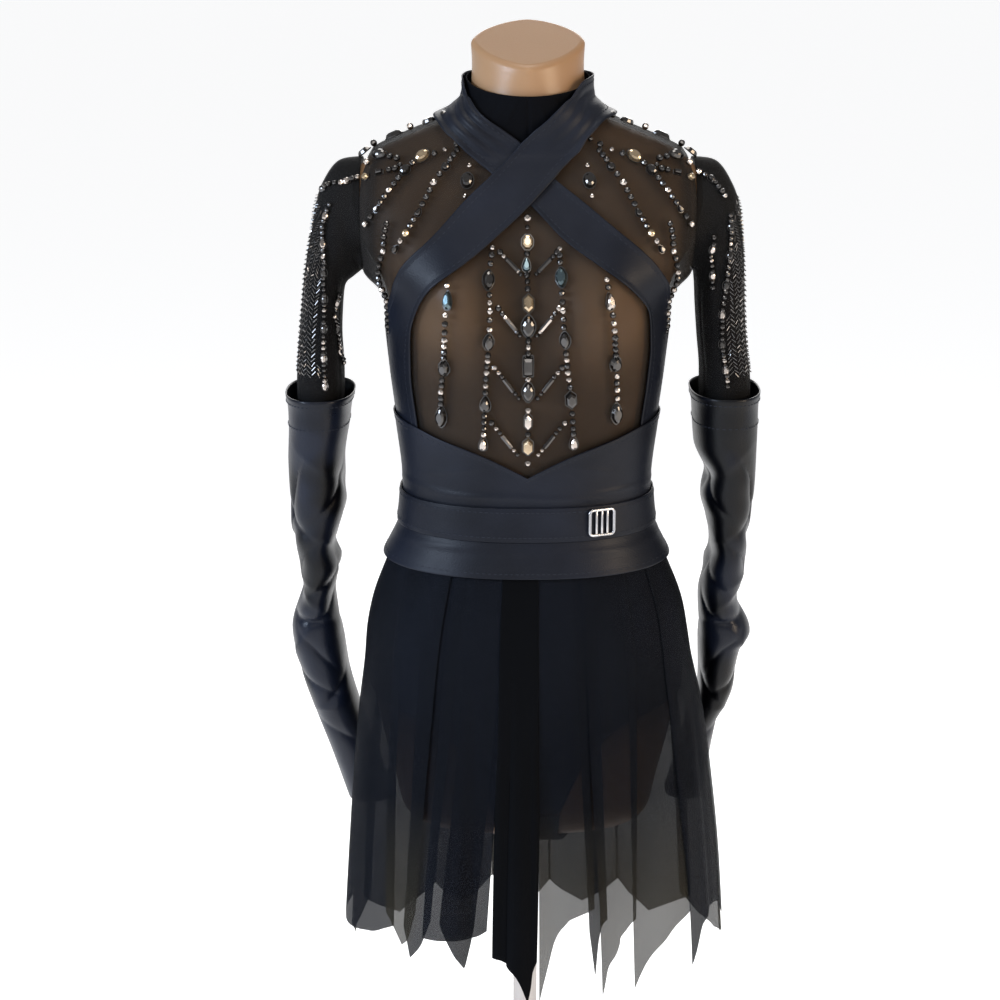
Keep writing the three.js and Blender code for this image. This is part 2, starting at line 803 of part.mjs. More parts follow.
// A rounded frame with three upright bars, lying against the belt.
function addBuckle() {
  const rounded = (shape, width, height, radius) => {
    const x = width / 2;
    const y = height / 2;
    shape.moveTo(-x + radius, -y);
    shape.lineTo(x - radius, -y);
    shape.quadraticCurveTo(x, -y, x, -y + radius);
    shape.lineTo(x, y - radius);
    shape.quadraticCurveTo(x, y, x - radius, y);
    shape.lineTo(-x + radius, y);
    shape.quadraticCurveTo(-x, y, -x, y - radius);
    shape.lineTo(-x, -y + radius);
    shape.quadraticCurveTo(-x, -y, -x + radius, -y);
    return shape;
  };
  const frame = 2.8;
  const bar = 2.2;
  const barCount = 3;
  const barInset = 0.8;
  const thickness = 2.6;
  const outerCorner = 5;
  const innerCorner = 2;
  const outline = rounded(new THREE.Shape(), buckleWidth, buckleHeight, outerCorner);
  const openWidth = buckleWidth - 2 * frame;
  const openHeight = buckleHeight - 2 * frame;
  outline.holes.push(rounded(new THREE.Path(), openWidth, openHeight, innerCorner));
  const options = { depth: thickness, bevelEnabled: false, curveSegments: 4 };
  let solid = toSolid(new THREE.ExtrudeGeometry(outline, options));
  for (let i = 0; i < barCount; i += 1) {
    const upright = new THREE.BoxGeometry(bar, openHeight + frame, thickness - barInset);
    const x = (openWidth * (i + 1)) / (barCount + 1) - openWidth / 2;
    upright.translate(x, 0, thickness / 2);
    solid = solid.add(toSolid(upright));
  }
  const onBelt = (lift) => lifted(figurePoint, buckleAround, buckleRise, beltLift + beltCloth + lift);
  const seat = onBelt(3 * seamGap);
  const out = onBelt(buckleWidth).sub(seat).setZ(0).normalize();
  const mesh = addMesh("belt_buckle", fromSolid(solid), finishes.steel);
  const sideways = new THREE.Vector3(0, 0, 1).cross(out);
  mesh.setRotationFromMatrix(new THREE.Matrix4().makeBasis(sideways, new THREE.Vector3(0, 0, 1), out));
  mesh.position.copy(seat);
}

// ---- Briefs ----

function addBriefs() {
  const angles = [0, 11, 20, 27, 34, 46, 60, 75, 90];
  const spread = [...angles.slice(1).reverse().map((turn) => -turn), ...angles];
  const panel = (name, isBack) => {
    addWall(name, finishes.stretch, {
      columns: spread.length - 1,
      rows: 5,
      lift: briefsLift,
      thickness: meshCloth,
      point: (u, v, lift) => {
        const turn = spread[Math.round(u * (spread.length - 1))];
        const hem = isBack ? leg.back(Math.abs(turn)) : leg.front(Math.abs(turn));
        const point = lifted(figurePoint, isBack ? 180 - turn : turn, mix(hem, briefsTop, v), lift);
        const seam = seamGap / 2;
        point.y = isBack ? Math.max(point.y, seam) : Math.min(point.y, -seam);
        return point;
      },
    });
  };
  panel("briefs_front", false);
  panel("briefs_back", true);
  addGusset();
}

function addGusset() {
  const rows = gussetPath.length;
  const place = (index) => new THREE.Vector2(gussetPath[index].y, gussetPath[index].rise);
  addWall("briefs_gusset", finishes.stretch, {
    columns: 4,
    rows: rows - 1,
    lift: briefsLift,
    thickness: meshCloth,
    point: (u, v, lift) => {
      const index = Math.round(v * (rows - 1));
      const row = gussetPath[index];
      const ahead = place(Math.min(index + 1, rows - 1)).sub(place(Math.max(index - 1, 0)));
      const outward = new THREE.Vector2(ahead.y, -ahead.x).normalize().multiplyScalar(lift);
      return new THREE.Vector3(
        row.centre + row.half * mix(-1, 1, u),
        row.y + outward.x,
        waistHeight + row.rise + outward.y,
      );
    },
  });
}

// ---- Skirt ----

function addGore(gore) {
  const hem = [gore.a, gore.b, gore.c, gore.d, gore.e];
  const closing = 1.3; // above 1, rows lie closer together at the hip
  const layerStart = 60;
  const layerFull = 250;
  addWall(gore.name, finishes.skirtMesh, {
    columns: 4,
    rows: 7,
    lift: 0,
    thickness: meshCloth,
    point: (u, v, lift) => {
      const fall = v ** closing;
      const around = mix(mix(gore.top0, gore.hem0, fall), mix(gore.top1, gore.hem1, fall), u);
      const rise = mix(skirtTop, along(hem, u), fall);
      const hang = THREE.MathUtils.smoothstep(-rise, layerStart, layerFull);
      return onSkirt(around, rise, lift + gore.layer * mix(skirtTopStep, skirtHemStep, hang));
    },
  });
}

// ---- Sleeves ----

// A ring of points between an inner and an outer end, with its depth along Y.
function sleeveRing(side, inner, outer, middle, depth, power, columns, lift) {
  const half = outer.clone().sub(inner).multiplyScalar(0.5);
  const centre = inner.clone().add(outer).multiplyScalar(0.5);
  const width = half.length() + lift;
  const axis = half.normalize();
  return Array.from({ length: columns }, (_, column) => {
    const turn = (360 * column) / columns;
    const radius = reach(turn, depth / 2 + lift, width, power);
    const out = centre.clone().addScaledVector(axis, radius * Math.cos(radians(turn)));
    return new THREE.Vector3(side * out.x, middle + radius * Math.sin(radians(turn)), out.y);
  });
}

// The armhole's edge on the bodice, seen from the middle of the armhole.
function armholeRing(side, columns, lift) {
  const middle = new THREE.Vector2(3, 290);
  const nearest = 8;
  const farthest = 90;
  const middleOfCloth = bodiceLift + meshCloth / 2;
  return Array.from({ length: columns }, (_, column) => {
    const turn = radians((360 * column) / columns);
    const edge = lastWithin(nearest, farthest, (radius) => {
      const y = middle.x + radius * Math.sin(turn);
      const rise = middle.y + radius * Math.cos(turn);
      const depth = y < 0 ? figure.front(rise) : figure.back(rise);
      const power = figure.power(rise);
      const bulge = Math.max(0, 1 - (Math.abs(y) / depth) ** power) ** (1 / power);
      return figure.half(rise) * bulge + easeAt(rise) + middleOfCloth > armholePlane;
    });
    const radius = edge + lift;
    return new THREE.Vector3(
      side * (armholePlane + seamGap),
      middle.x + radius * Math.sin(turn),
      waistHeight + middle.y + radius * Math.cos(turn),
    );
  });
}

function addSleeve(name, side, rings) {
  const columns = 16;
  const sheet = (lift) => [
    armholeRing(side, columns, lift),
    ...rings.map((ring) => sleeveRing(
      side,
      new THREE.Vector2(ring.inX, waistHeight + ring.inRise),
      new THREE.Vector2(ring.outX, waistHeight + ring.outRise),
      ring.middle, ring.depth, ring.power, columns, lift,
    )),
  ];
  addMesh(name, clothWall(sheet(0), sheet(-meshCloth), true), finishes.mesh);
}

// Creases round a gauntlet: the turn they are deepest at, their rise, slope and depth.
const gauntletCreases = table(["turn", "rise", "slope", "depth"], [
  [200, 20, 20, 3],
  [320, -40, -26, 4],
  [180, -75, 24, 4],
  [300, -105, 16, 3],
  [60, -60, 20, 4],
  [120, -130, -20, 3],
]);

// One length of a gauntlet between two rises.
function addGauntletLength(name, side, rings, top, bottom) {
  const columns = 12;
  const rowHeight = 30;
  const rows = Math.round((top - bottom) / rowHeight);
  const creaseSpread = 60; // degrees round the arm
  const creaseWidth = 11;
  const line = curves(rings, ["in", "out", "middle", "depth"], "rise");
  const sheet = (lift) => Array.from({ length: rows + 1 }, (_, row) => {
    const rise = mix(top, bottom, row / rows);
    const ring = sleeveRing(
      side,
      new THREE.Vector2(line.in(rise), waistHeight + rise),
      new THREE.Vector2(line.out(rise), waistHeight + rise),
      line.middle(rise), line.depth(rise), gauntletPower, columns, lift,
    );
    const heart = new THREE.Vector3();
    ring.forEach((point) => heart.addScaledVector(point, 1 / columns));
    return ring.map((point, column) => {
      const turn = (360 * column) / columns;
      let pull = 0;
      for (const crease of gauntletCreases) {
        const away = ((turn - crease.turn + 540) % 360) - 180;
        const height = rise - crease.rise - (crease.slope * away) / 90;
        pull += crease.depth * bell(away, creaseSpread) * bell(height, creaseWidth);
      }
      const inward = heart.clone().sub(point).setZ(0).normalize();
      return point.addScaledVector(inward, pull);
    });
  });
  addMesh(name, clothWall(sheet(0), sheet(-coatedCloth), true), finishes.coated);
}

// A gauntlet in two lengths that meet at the elbow.
function addGauntlet(name, side, rings) {
  const last = rings[rings.length - 1].rise;
  addGauntletLength(`${name}_upper`, side, rings, rings[0].rise, elbowRise);
  addGauntletLength(`${name}_lower`, side, rings, elbowRise - seamGap, last);
}

// ---- Bead strands ----

// A place on the front, by its distance from the centre plane.
function onFront(x, rise, lift) {
  const share = Math.min(Math.abs(x) / figure.half(rise), 0.999);
  const depth = figure.front(rise) * (1 - share ** figure.power(rise)) ** (1 / figure.power(rise));
  return onBodice(THREE.MathUtils.radToDeg(Math.atan2(x, depth)), rise, lift);
}

// A corded line with a faceted stone raised at each place of its table.
function strandGeometry(stones) {
  const roundBead = 9; // stones up to this length have one crown, longer ones a table
  const tableEdge = 0.45; // half length of the table as a share of the stone's
  const cordHalf = 1.1;
  const cordHeight = 1.4;
  const crownHeight = 2;
  const crownRise = 0.2; // more height for each millimetre of width
  const stations = [];
  const addStation = (x, rise, half, height) => stations.push({ x, rise, half, height });
  stones.forEach((stone, i) => {
    const before = stones[Math.max(i - 1, 0)];
    const after = stones[Math.min(i + 1, stones.length - 1)];
    const way = new THREE.Vector2(after.x - before.x, after.rise - before.rise).normalize();
    const reachOut = stone.length / 2;
    const height = crownHeight + crownRise * stone.width;
    const place = (shift) => [stone.x + way.x * shift, stone.rise + way.y * shift];
    const facets = stone.length > roundBead ? [-tableEdge, tableEdge] : [0];
    addStation(...place(-reachOut), cordHalf, cordHeight);
    for (const share of facets) addStation(...place(share * reachOut), stone.width / 2, height);
    addStation(...place(reachOut), cordHalf, cordHeight);
  });
  const rings = stations.map((station, i) => {
    const before = stations[Math.max(i - 1, 0)];
    const after = stations[Math.min(i + 1, stations.length - 1)];
    const way = new THREE.Vector2(after.x - before.x, after.rise - before.rise).normalize();
    const corner = (share, lift) =>
      onFront(station.x + way.y * station.half * share, station.rise - way.x * station.half * share, lift);
    return [
      corner(-1, beadLift), corner(1, beadLift),
      corner(0.5, beadLift + station.height), corner(-0.5, beadLift + station.height),
    ];
  });
  const points = rings.flat();
  const triangles = [[0, 1, 2], [0, 2, 3]];
  for (let i = 0; i < rings.length - 1; i += 1) {
    for (let side = 0; side < 4; side += 1) {
      const a = 4 * i + side;
      const b = 4 * i + ((side + 1) % 4);
      triangles.push([a, a + 4, b + 4], [a, b + 4, b]);
    }
  }
  const end = 4 * (rings.length - 1);
  triangles.push([end, end + 2, end + 1], [end, end + 3, end + 2]);
  return closedGeometry(points, triangles);
}

function addBeads() {
  const pastX = 7; // how far each arm runs on, to join the centre strand
  const pastRise = 6;
  let herringbone = toSolid(strandGeometry(centreStrand));
  for (const arm of chevrons) {
    for (const side of [-1, 1]) {
      const place = (share) => ({
        x: side * mix(arm.outX, arm.inX - pastX, share),
        rise: mix(arm.outRise, arm.inRise - pastRise, share),
      });
      const stones = [
        { ...place(0.1), length: 5, width: 5 },
        { ...place(0.5), length: 15, width: 4.4 },
        { ...place(0.98), length: 4, width: 3 },
      ];
      herringbone = herringbone.add(toSolid(strandGeometry(stones)));
    }
  }
  addMesh("beads_centre", fromSolid(herringbone), finishes.beads);
  addMesh("beads_inner_right", strandGeometry(innerRightStrand), finishes.beads);
  addMesh("beads_inner_left", strandGeometry(innerLeftStrand), finishes.beads);
  addMesh("beads_outer_right", strandGeometry(outerRightStrand), finishes.beads);
  addMesh("beads_outer_left", strandGeometry(outerLeftStrand), finishes.beads);
  const shoulder = { long_ray: longRay, ring_stone: ringStone, short_ray: shortRay, arm_line: armLine };
  for (const [sideName, side] of [["right", -1], ["left", 1]]) {
    for (const [name, stones] of Object.entries(shoulder)) {
      const placed = stones.map((stone) => ({ ...stone, x: side * stone.x }));
      addMesh(`beads_${name}_${sideName}`, strandGeometry(placed), finishes.beads);
    }
  }
}

addStand();
addForm();
addBodice();
addCollar();
addBand("band_over", overBandEdges);
addBand("band_under", underBandEdges);
addYoke();
addBasque();
addBelt();
addBuckle();
addBriefs();
for (const gore of gores) addGore(gore);
addSleeve("sleeve_right", -1, rightSleeveRings);
addSleeve("sleeve_left", 1, leftSleeveRings);
addGauntlet("gauntlet_right", -1, rightGauntletRings);
addGauntlet("gauntlet_left", 1, leftGauntletRings);
addBeads();

export default dress;
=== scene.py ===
import functools
import math
import random

import bmesh
import bpy
from mathutils import Matrix, Vector


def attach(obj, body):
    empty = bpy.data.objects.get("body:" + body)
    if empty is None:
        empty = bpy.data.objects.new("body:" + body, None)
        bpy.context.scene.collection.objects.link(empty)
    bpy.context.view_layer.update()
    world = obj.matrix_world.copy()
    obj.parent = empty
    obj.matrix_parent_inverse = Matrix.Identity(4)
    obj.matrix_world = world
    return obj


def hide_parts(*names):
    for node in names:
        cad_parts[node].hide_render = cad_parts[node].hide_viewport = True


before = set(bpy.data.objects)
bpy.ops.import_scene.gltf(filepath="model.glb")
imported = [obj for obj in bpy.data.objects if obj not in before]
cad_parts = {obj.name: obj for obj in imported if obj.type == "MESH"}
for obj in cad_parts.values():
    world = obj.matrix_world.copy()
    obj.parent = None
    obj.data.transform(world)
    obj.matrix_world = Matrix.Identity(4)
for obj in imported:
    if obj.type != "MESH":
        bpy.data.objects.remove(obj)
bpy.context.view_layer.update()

# Tables and sizes are millimetres. A mesh is made in metres, by mm.
# "rise" is height above the waist, "around" the angle about the pole in degrees,
# 0 at the front and 90 at the wearer's left. The dress faces -Y. A side is -1 or 1,
# the sign of its x.
mm = 0.001
waist = 1030
sides = {-1: "right", 1: "left"}
coarse = 1.0

# ---- camera, floor and lights


def addObject(name, data):
    made = bpy.data.objects.new(name, data)
    bpy.context.collection.objects.link(made)
    return made


cameraView = {"x": -26.5, "distance": 2200, "tilt": 15, "lens": 79.2, "sensor": 36}
tilt = math.radians(cameraView["tilt"])
cameraData = bpy.data.cameras.new("camera")
cameraData.lens = cameraView["lens"]
cameraData.sensor_width = cameraView["sensor"]
cameraData.clip_end = 200
camera = addObject("camera", cameraData)
camera.location = (
    cameraView["x"] * mm,
    -cameraView["distance"] * math.cos(tilt) * mm,
    (waist + cameraView["distance"] * math.sin(tilt)) * mm,
)
camera.rotation_euler = (math.pi / 2 - tilt, 0, 0)
bpy.context.scene.camera = camera
bpy.context.scene.view_settings.view_transform = "Standard"
bpy.context.scene.cycles.transparent_max_bounces = 40
print("camera ready")


def newMaterial(name, sockets):
    look = bpy.data.materials.new(name)
    look.use_nodes = True
    shader = look.node_tree.nodes["Principled BSDF"]
    for socket, value in sockets.items():
        shader.inputs[socket].default_value = value
    return look


def addNode(look, kind, inputs=None, **settings):
    node = look.node_tree.nodes.new("ShaderNode" + kind)
    for name, value in settings.items():
        setattr(node, name, value)
    for name, value in (inputs or {}).items():
        if hasattr(value, "is_output"):
            look.node_tree.links.new(value, node.inputs[name])
        else:
            node.inputs[name].default_value = value
    return node


def link(look, output, socket):
    shader = look.node_tree.nodes["Principled BSDF"]
    look.node_tree.links.new(output, shader.inputs[socket])


def mathNode(look, operation, first, second):
    return addNode(look, "Math", {0: first, 1: second}, operation=operation).outputs[0]


studio = {
    "floorColour": (0.94, 0.94, 0.94, 1), "floorGlow": 0.66, "floorSize": 120,
    "sky": (0.97, 0.98, 1.0, 1), "skyStrength": 0.36,
}


def makeFloor():
    work = bmesh.new()
    bmesh.ops.create_grid(work, x_segments=1, y_segments=1, size=studio["floorSize"] / 2)
    mesh = bpy.data.meshes.new("floor")
    work.to_mesh(mesh)
    work.free()
    floor = addObject("floor", mesh)
    look = newMaterial("studioFloor", {
        "Base Color": studio["floorColour"], "Roughness": 0.9, "Specular IOR Level": 0.1,
        "Emission Color": studio["floorColour"], "Emission Strength": studio["floorGlow"],
    })
    mesh.materials.append(look)


def makeLights():
    world = bpy.data.worlds.new("studio")
    world.use_nodes = True
    sky = world.node_tree.nodes["Background"]
    sky.inputs["Color"].default_value = studio["sky"]
    sky.inputs["Strength"].default_value = studio["skyStrength"]
    bpy.context.scene.world = world
    lamps = [
        # name, place in metres, size, power, colour
        ("coolWindow", (-2.4, -1.5, 1.9), 1.2, 92, (0.68, 0.81, 1.0)),
        ("warmRoom", (2.3, -1.5, 1.5), 1.2, 46, (1.0, 0.80, 0.58)),
        ("frontFill", (0.0, -3.2, 2.9), 1.4, 20, (1.0, 0.97, 0.94)),
        ("backFill", (0.2, 3.0, 2.4), 2.2, 40, (1.0, 0.98, 0.96)),
        ("topFill", (0.0, -0.3, 3.6), 1.2, 26, (1.0, 0.98, 0.94)),
    ]
    target = Vector((0, 0, waist * mm))
    for name, place, size, power, colour in lamps:
        lampData = bpy.data.lights.new(name, "AREA")
        lampData.shape = "DISK"
        lampData.size = size
        lampData.energy = power
        lampData.color = colour
        lamp = addObject(name, lampData)
        lamp.location = place
        lamp.rotation_euler = (target - lamp.location).to_track_quat("-Z", "Y").to_euler()


makeFloor()
makeLights()
print("studio ready")

# ---- the figure that the dress is cut on


def tableOf(columns, rows):
    return [dict(zip(columns, row)) for row in rows]


def smoothCurve(places, values):  # a curve that never overshoots its rows
    pairs = sorted(zip(places, values))
    x = [pair[0] for pair in pairs]
    y = [pair[1] for pair in pairs]
    step = [b - a for a, b in zip(x, x[1:])]
    slope = [(b - a) / s for a, b, s in zip(y, y[1:], step)]
    tangent = [slope[0]]
    for i in range(1, len(step)):
        if slope[i - 1] * slope[i] <= 0:
            tangent.append(0.0)
            continue
        before = 2 * step[i] + step[i - 1]
        after = step[i] + 2 * step[i - 1]
        tangent.append((before + after) / (before / slope[i - 1] + after / slope[i]))
    tangent.append(slope[-1])

    def read(at):
        place = min(max(at, x[0]), x[-1])
        i = 0
        while i < len(step) - 1 and place > x[i + 1]:
            i += 1
        t = (place - x[i]) / step[i]
        near = y[i] * (1 + 2 * t) + tangent[i] * step[i] * t
        far = y[i + 1] * (3 - 2 * t) - tangent[i + 1] * step[i] * (1 - t)
        return near * (1 - t) ** 2 + far * t ** 2

    return read


def readerOf(rows, key, names):  # reads every named column at one place
    places = [row[key] for row in rows]
    curves = [smoothCurve(places, [row[name] for row in rows]) for name in names]

    @functools.lru_cache(maxsize=None)
    def read(at):
        return tuple(curve(at) for curve in curves)

    return read


def mix(first, second, share):
    return first + (second - first) * share


def clamp(value, low=0.0, high=1.0):
    return min(max(value, low), high)


def bell(distance, spread):
    return math.exp(-((distance / spread) ** 2))


def cusp(distance, spread):
    return math.exp(-abs(distance) / spread)


def sine(degrees):
    return math.sin(math.radians(degrees))


def cosine(degrees):
    return math.cos(math.radians(degrees))


def turnBetween(turn, other):
    return (turn - other + 540) % 360 - 180


def ramp(value, low, high):
    t = clamp((value - low) / (high - low))
    return t * t * (3 - 2 * t)


figureSections = tableOf(["rise", "half", "front", "back", "power"], [
    (-338, 100, 52, 56, 2.3),
    (-333, 118, 70, 76, 2.3),
    (-318, 130, 82, 91, 2.3),
    (-290, 136, 89, 101, 2.3),
    (-240, 148, 98, 116, 2.3),
    (-190, 157, 104, 122, 2.3),
    (-140, 157, 106, 116, 2.3),
    (-100, 149, 102, 106, 2.3),
    (-53, 134, 95, 94, 2.3),
    (-15, 120, 89, 85, 2.3),
    (20, 117, 88, 82, 2.3),
    (90, 124, 93, 84, 2.3),
    (130, 129, 97, 87, 2.35),
    (205, 137, 98, 93, 2.6),
    (235, 146, 94, 94, 3.0),
    (255, 157, 90, 94, 3.3),
    (280, 167, 83, 90, 3.5),
    (305, 171, 74, 84, 3.5),
    (325, 169, 64, 78, 3.3),
    (338, 160, 57, 72, 3.0),
    (350, 145, 53, 66, 2.7),
    (362, 120, 52, 61, 2.4),
    (374, 92, 54, 57, 2.2),
    (386, 70, 57, 54, 2.1),
    (400, 58, 58, 50, 1.9),
    (430, 56, 59, 48, 1.8),
    (452, 57, 60, 49, 1.65),
    (480, 57, 60, 49, 1.65),
])
bust = {"depth": 26, "apart": 68, "width": 40, "rise": 203, "above": 52, "below": 38}
cut = {
    "armhole": 158.6, "underarmEase": 11, "underarmRise": 238, "underarmSpread": 16,
    "armholeCentre": (3, 290), "seam": 0.3, "beltHeight": 34, "basqueHem": -53,
}
lifts = {
    "form": -2.8, "briefs": 0.8, "bodice": 1.0, "beads": 2.0, "band": 3.2, "crossing": 2.6,
    "yoke": 5.2, "basqueTop": 5.8, "basqueHem": 8.3, "belt": 7.5, "skirtTop": 0.9, "skirtHem": 2.4,
}
figureAt = readerOf(figureSections, "rise", ["half", "front", "back", "power"])


def bustSwell(x, rise):
    height = rise - bust["rise"]
    level = bell(height, bust["above"] if height > 0 else bust["below"])
    both = bell(x - bust["apart"], bust["width"]) + bell(x + bust["apart"], bust["width"])
    return bust["depth"] * level * both


def reach(around, side, depth, power):
    across = abs(sine(around)) / side
    along = abs(cosine(around)) / depth
    return (across ** power + along ** power) ** (-1 / power)


def figurePoint(around, rise):
    forward = cosine(around)
    half, front, back, power = figureAt(rise)
    radius = reach(around, half, front if forward > 0 else back, power)
    x = radius * sine(around)
    swell = bustSwell(x, rise) * clamp(3 * forward)
    return Vector((x, -radius * forward - swell, waist + rise))


def lifted(surface, around, rise, lift):
    step = 0.4
    turn = surface(around + step, rise) - surface(around - step, rise)
    climb = surface(around, rise + step) - surface(around, rise - step)
    return surface(around, rise) + turn.cross(climb).normalized() * lift


def easeAt(rise):
    return cut["underarmEase"] * bell(rise - cut["underarmRise"], cut["underarmSpread"])


def onBodice(around, rise, lift):
    side = sine(around) ** 8
    return lifted(figurePoint, around, rise, lift + easeAt(rise) * side)


def onFront(x, rise, lift):  # a place on the front by its distance from the centre
    half, front, _, power = figureAt(rise)
    share = min(abs(x) / half, 0.999)
    depth = front * (1 - share ** power) ** (1 / power)
    return onBodice(math.degrees(math.atan2(x, depth)), rise, lift)


@functools.lru_cache(maxsize=None)
def armholeAngle(rise, isBack):
    def isWithin(turn):  # at the middle of the cloth
        point = onBodice(180 - turn if isBack else turn, rise, lifts["bodice"] + 0.5)
        return abs(point.x) <= cut["armhole"]

    if isWithin(90):
        return 90
    near, far = 30, 90
    for _ in range(18):
        middle = (near + far) / 2
        near, far = (middle, far) if isWithin(middle) else (near, middle)
    return near


creaseColumns = ["across", "along", "slant", "length", "width", "depth"]


def creaseAt(creases, across, along):
    depth = 0
    for row in creases:
        slant = math.radians(row["slant"])
        dx = across - row["across"]
        dy = along - row["along"]
        run = dx * math.cos(slant) + dy * math.sin(slant)
        off = -dx * math.sin(slant) + dy * math.cos(slant)
        depth += row["depth"] * bell(off, row["width"]) * bell(run, row["length"] / 2)
    return depth


# ---- making pieces


def finishPiece(name, work, looks, nodes=(), smooth=True):
    mesh = bpy.data.meshes.new(name)
    work.to_mesh(mesh)
    work.free()
    piece = addObject(name, mesh)
    for look in looks:
        mesh.materials.append(look)
    mesh.polygons.foreach_set("use_smooth", [smooth] * len(mesh.polygons))
    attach(piece, "root")
    if nodes:
        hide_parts(*nodes)
    return piece


def flatSize(surface, lift, isLevel):  # the cloth laid flat: widest, longest and area
    count = 20
    shares = [i / count for i in range(count + 1)]
    grid = [[surface(u, v, lift) for u in shares] for v in shares]
    across = [[point.xy if isLevel else point for point in row] for row in grid]
    widths = [sum((a - b).length for a, b in zip(row, row[1:])) for row in across]
    lengths = [sum((a[i] - b[i]).length for a, b in zip(grid, grid[1:])) for i in range(count + 1)]
    area = 0
    for low, high in zip(grid, grid[1:]):
        for i in range(count):
            first = (low[i + 1] - low[i]).cross(high[i] - low[i]).length
            second = (low[i + 1] - high[i + 1]).cross(high[i] - high[i + 1]).length
            area += (first + second) / 2
    width, length = max(widths) * mm, max(lengths) * mm
    return width, length, min(area * mm * mm, width * length)


def clothPiece(name, shape, surface, look, nodes, lift,
               ring=False, isLevel=False):
    columns, rows = (max(4, round(count * coarse)) for count in shape["size"])
    width, length, area = flatSize(surface, lift, isLevel)
    work = bmesh.new()
    weave = work.loops.layers.uv.new("weave")
    bmesh.ops.create_grid(work, x_segments=columns, y_segments=rows, size=0.5)
    shares = {vert: (vert.co.x + 0.5, vert.co.y + 0.5) for vert in work.verts}
    for face in work.faces:
        for loop in face.loops:
            u, v = shares[loop.vert]
            loop[weave].uv = (u * width, v * length)
    for vert, (u, v) in shares.items():
        vert.co = surface(u, v, lift) * mm
    if ring:
        bmesh.ops.remove_doubles(work, verts=work.verts, dist=1e-6)
    here, step = (0.37, 0.63), 0.01
    spot = surface(*here, lift)
    turn = surface(here[0] + step, here[1], lift) - spot
    climb = surface(here[0], here[1] + step, lift) - spot
    if turn.cross(climb).dot(surface(*here, lift + 1) - spot) < 0:
        bmesh.ops.reverse_faces(work, faces=work.faces)
    piece = finishPiece(name, work, [look], nodes)
    shell = piece.modifiers.new("cloth", "SOLIDIFY")
    shell.thickness = shape["thickness"] * mm
    shell.offset = 1
    shell.use_even_offset = False
    print(f"{name}: cut {width:.3f} x {length:.3f} m, area {area:.4f} m2")
    return piece


def spunPiece(name, profile, look, nodes, steps=96):
    work = bmesh.new()
    verts = [work.verts.new((radius * mm, 0, height * mm)) for radius, height in profile]
    edges = [work.edges.new(pair) for pair in zip(verts, verts[1:])]
    bmesh.ops.spin(work, geom=verts + edges, cent=(0, 0, 0), axis=(0, 0, 1),
                   angle=math.tau, steps=steps, use_merge=True)
    bmesh.ops.remove_doubles(work, verts=work.verts, dist=1e-6)
    bmesh.ops.recalc_face_normals(work, faces=work.faces)
    piece = finishPiece(name, work, [look], nodes)
    edge = piece.modifiers.new("edge", "BEVEL")
    edge.width = 0.0009
    edge.segments = 3
    edge.limit_method = "ANGLE"
    edge.harden_normals = True
    return piece


# ---- materials


def weaveOf(look):  # metres of the flat cloth
    return addNode(look, "UVMap", uv_map="weave").outputs["UV"]


def placeOf(look):  # metres in the piece's own coordinates
    return addNode(look, "TexCoord").outputs["Object"]


def axisOf(look, axis):
    return addNode(look, "SeparateXYZ", {"Vector": placeOf(look)}).outputs[axis]


def scaledPlace(look, scale=(1, 1, 1)):
    return addNode(look, "Mapping", {"Vector": placeOf(look), "Scale": scale}).outputs[0]


def ridges(look, scale, distortion, way):  # bands along the cloth or across it
    return addNode(look, "TexWave", {"Vector": weaveOf(look), "Scale": scale,
                                     "Distortion": distortion},
                   wave_type="BANDS", bands_direction=way).outputs["Fac"]


def noise(look, vector, scale, detail=3.0, roughness=0.5):
    node = addNode(look, "TexNoise", {
        "Vector": vector, "Scale": scale, "Detail": detail, "Roughness": roughness,
    })
    return node.outputs["Fac"]


def remap(look, value, low, high, toLow, toHigh):
    node = addNode(look, "MapRange", {
        "Value": value, "From Min": low, "From Max": high, "To Min": toLow, "To Max": toHigh,
    })
    return node.outputs["Result"]


def blended(look, share, *colours):  # each is three numbers, or an output that gives a colour
    first, second = (end if hasattr(end, "is_output") else (*end, 1) for end in colours)
    return addNode(look, "Mix", {"Factor": share, 6: first, 7: second}, data_type="RGBA").outputs[2]


def bumped(look, height, strength, distance):
    node = addNode(look, "Bump", {
        "Height": height, "Strength": strength, "Distance": distance,
    })
    link(look, node.outputs["Normal"], "Normal")


def distanceTo(look, place):
    node = addNode(look, "VectorMath", {0: placeOf(look), 1: place}, operation="DISTANCE")
    return node.outputs["Value"]


def sheerLook(name, cover, dark, light, thread, thinner=None, below=None):
    look = newMaterial(name, {"Roughness": 0.82, "Specular IOR Level": 0.08})
    net = mathNode(look, "MAXIMUM", ridges(look, thread, 0.3, "X"), ridges(look, thread, 0.3, "Y"))
    cloud = noise(look, scaledPlace(look, (1, 1, 0.35)), 9, 2)
    # painted fold shade: vertically stretched noise darkens and lightens the colour in streaks, as
    # soft folds would shade and catch light
    paintedFoldShade = noise(look, scaledPlace(look, (1, 1, 0.06)), 26, 2)
    threads = remap(look, net, 0.2, 1.0, cover - 0.09, cover + 0.06)
    clouds = remap(look, cloud, 0.3, 0.7, -0.04, 0.04)
    alpha = mathNode(look, "ADD", threads, clouds)
    if thinner:
        alpha = mathNode(look, "SUBTRACT", alpha, thinner(look))
    link(look, alpha, "Alpha")
    colour = blended(look, paintedFoldShade, dark, light)
    if below:
        share = remap(look, axisOf(look, "Z"), 0.62, 0.75, 1.0, 0.0)
        colour = blended(look, share, colour, blended(look, paintedFoldShade, *below))
    link(look, colour, "Base Color")
    bumped(look, net, 0.25, 0.0002)
    return look


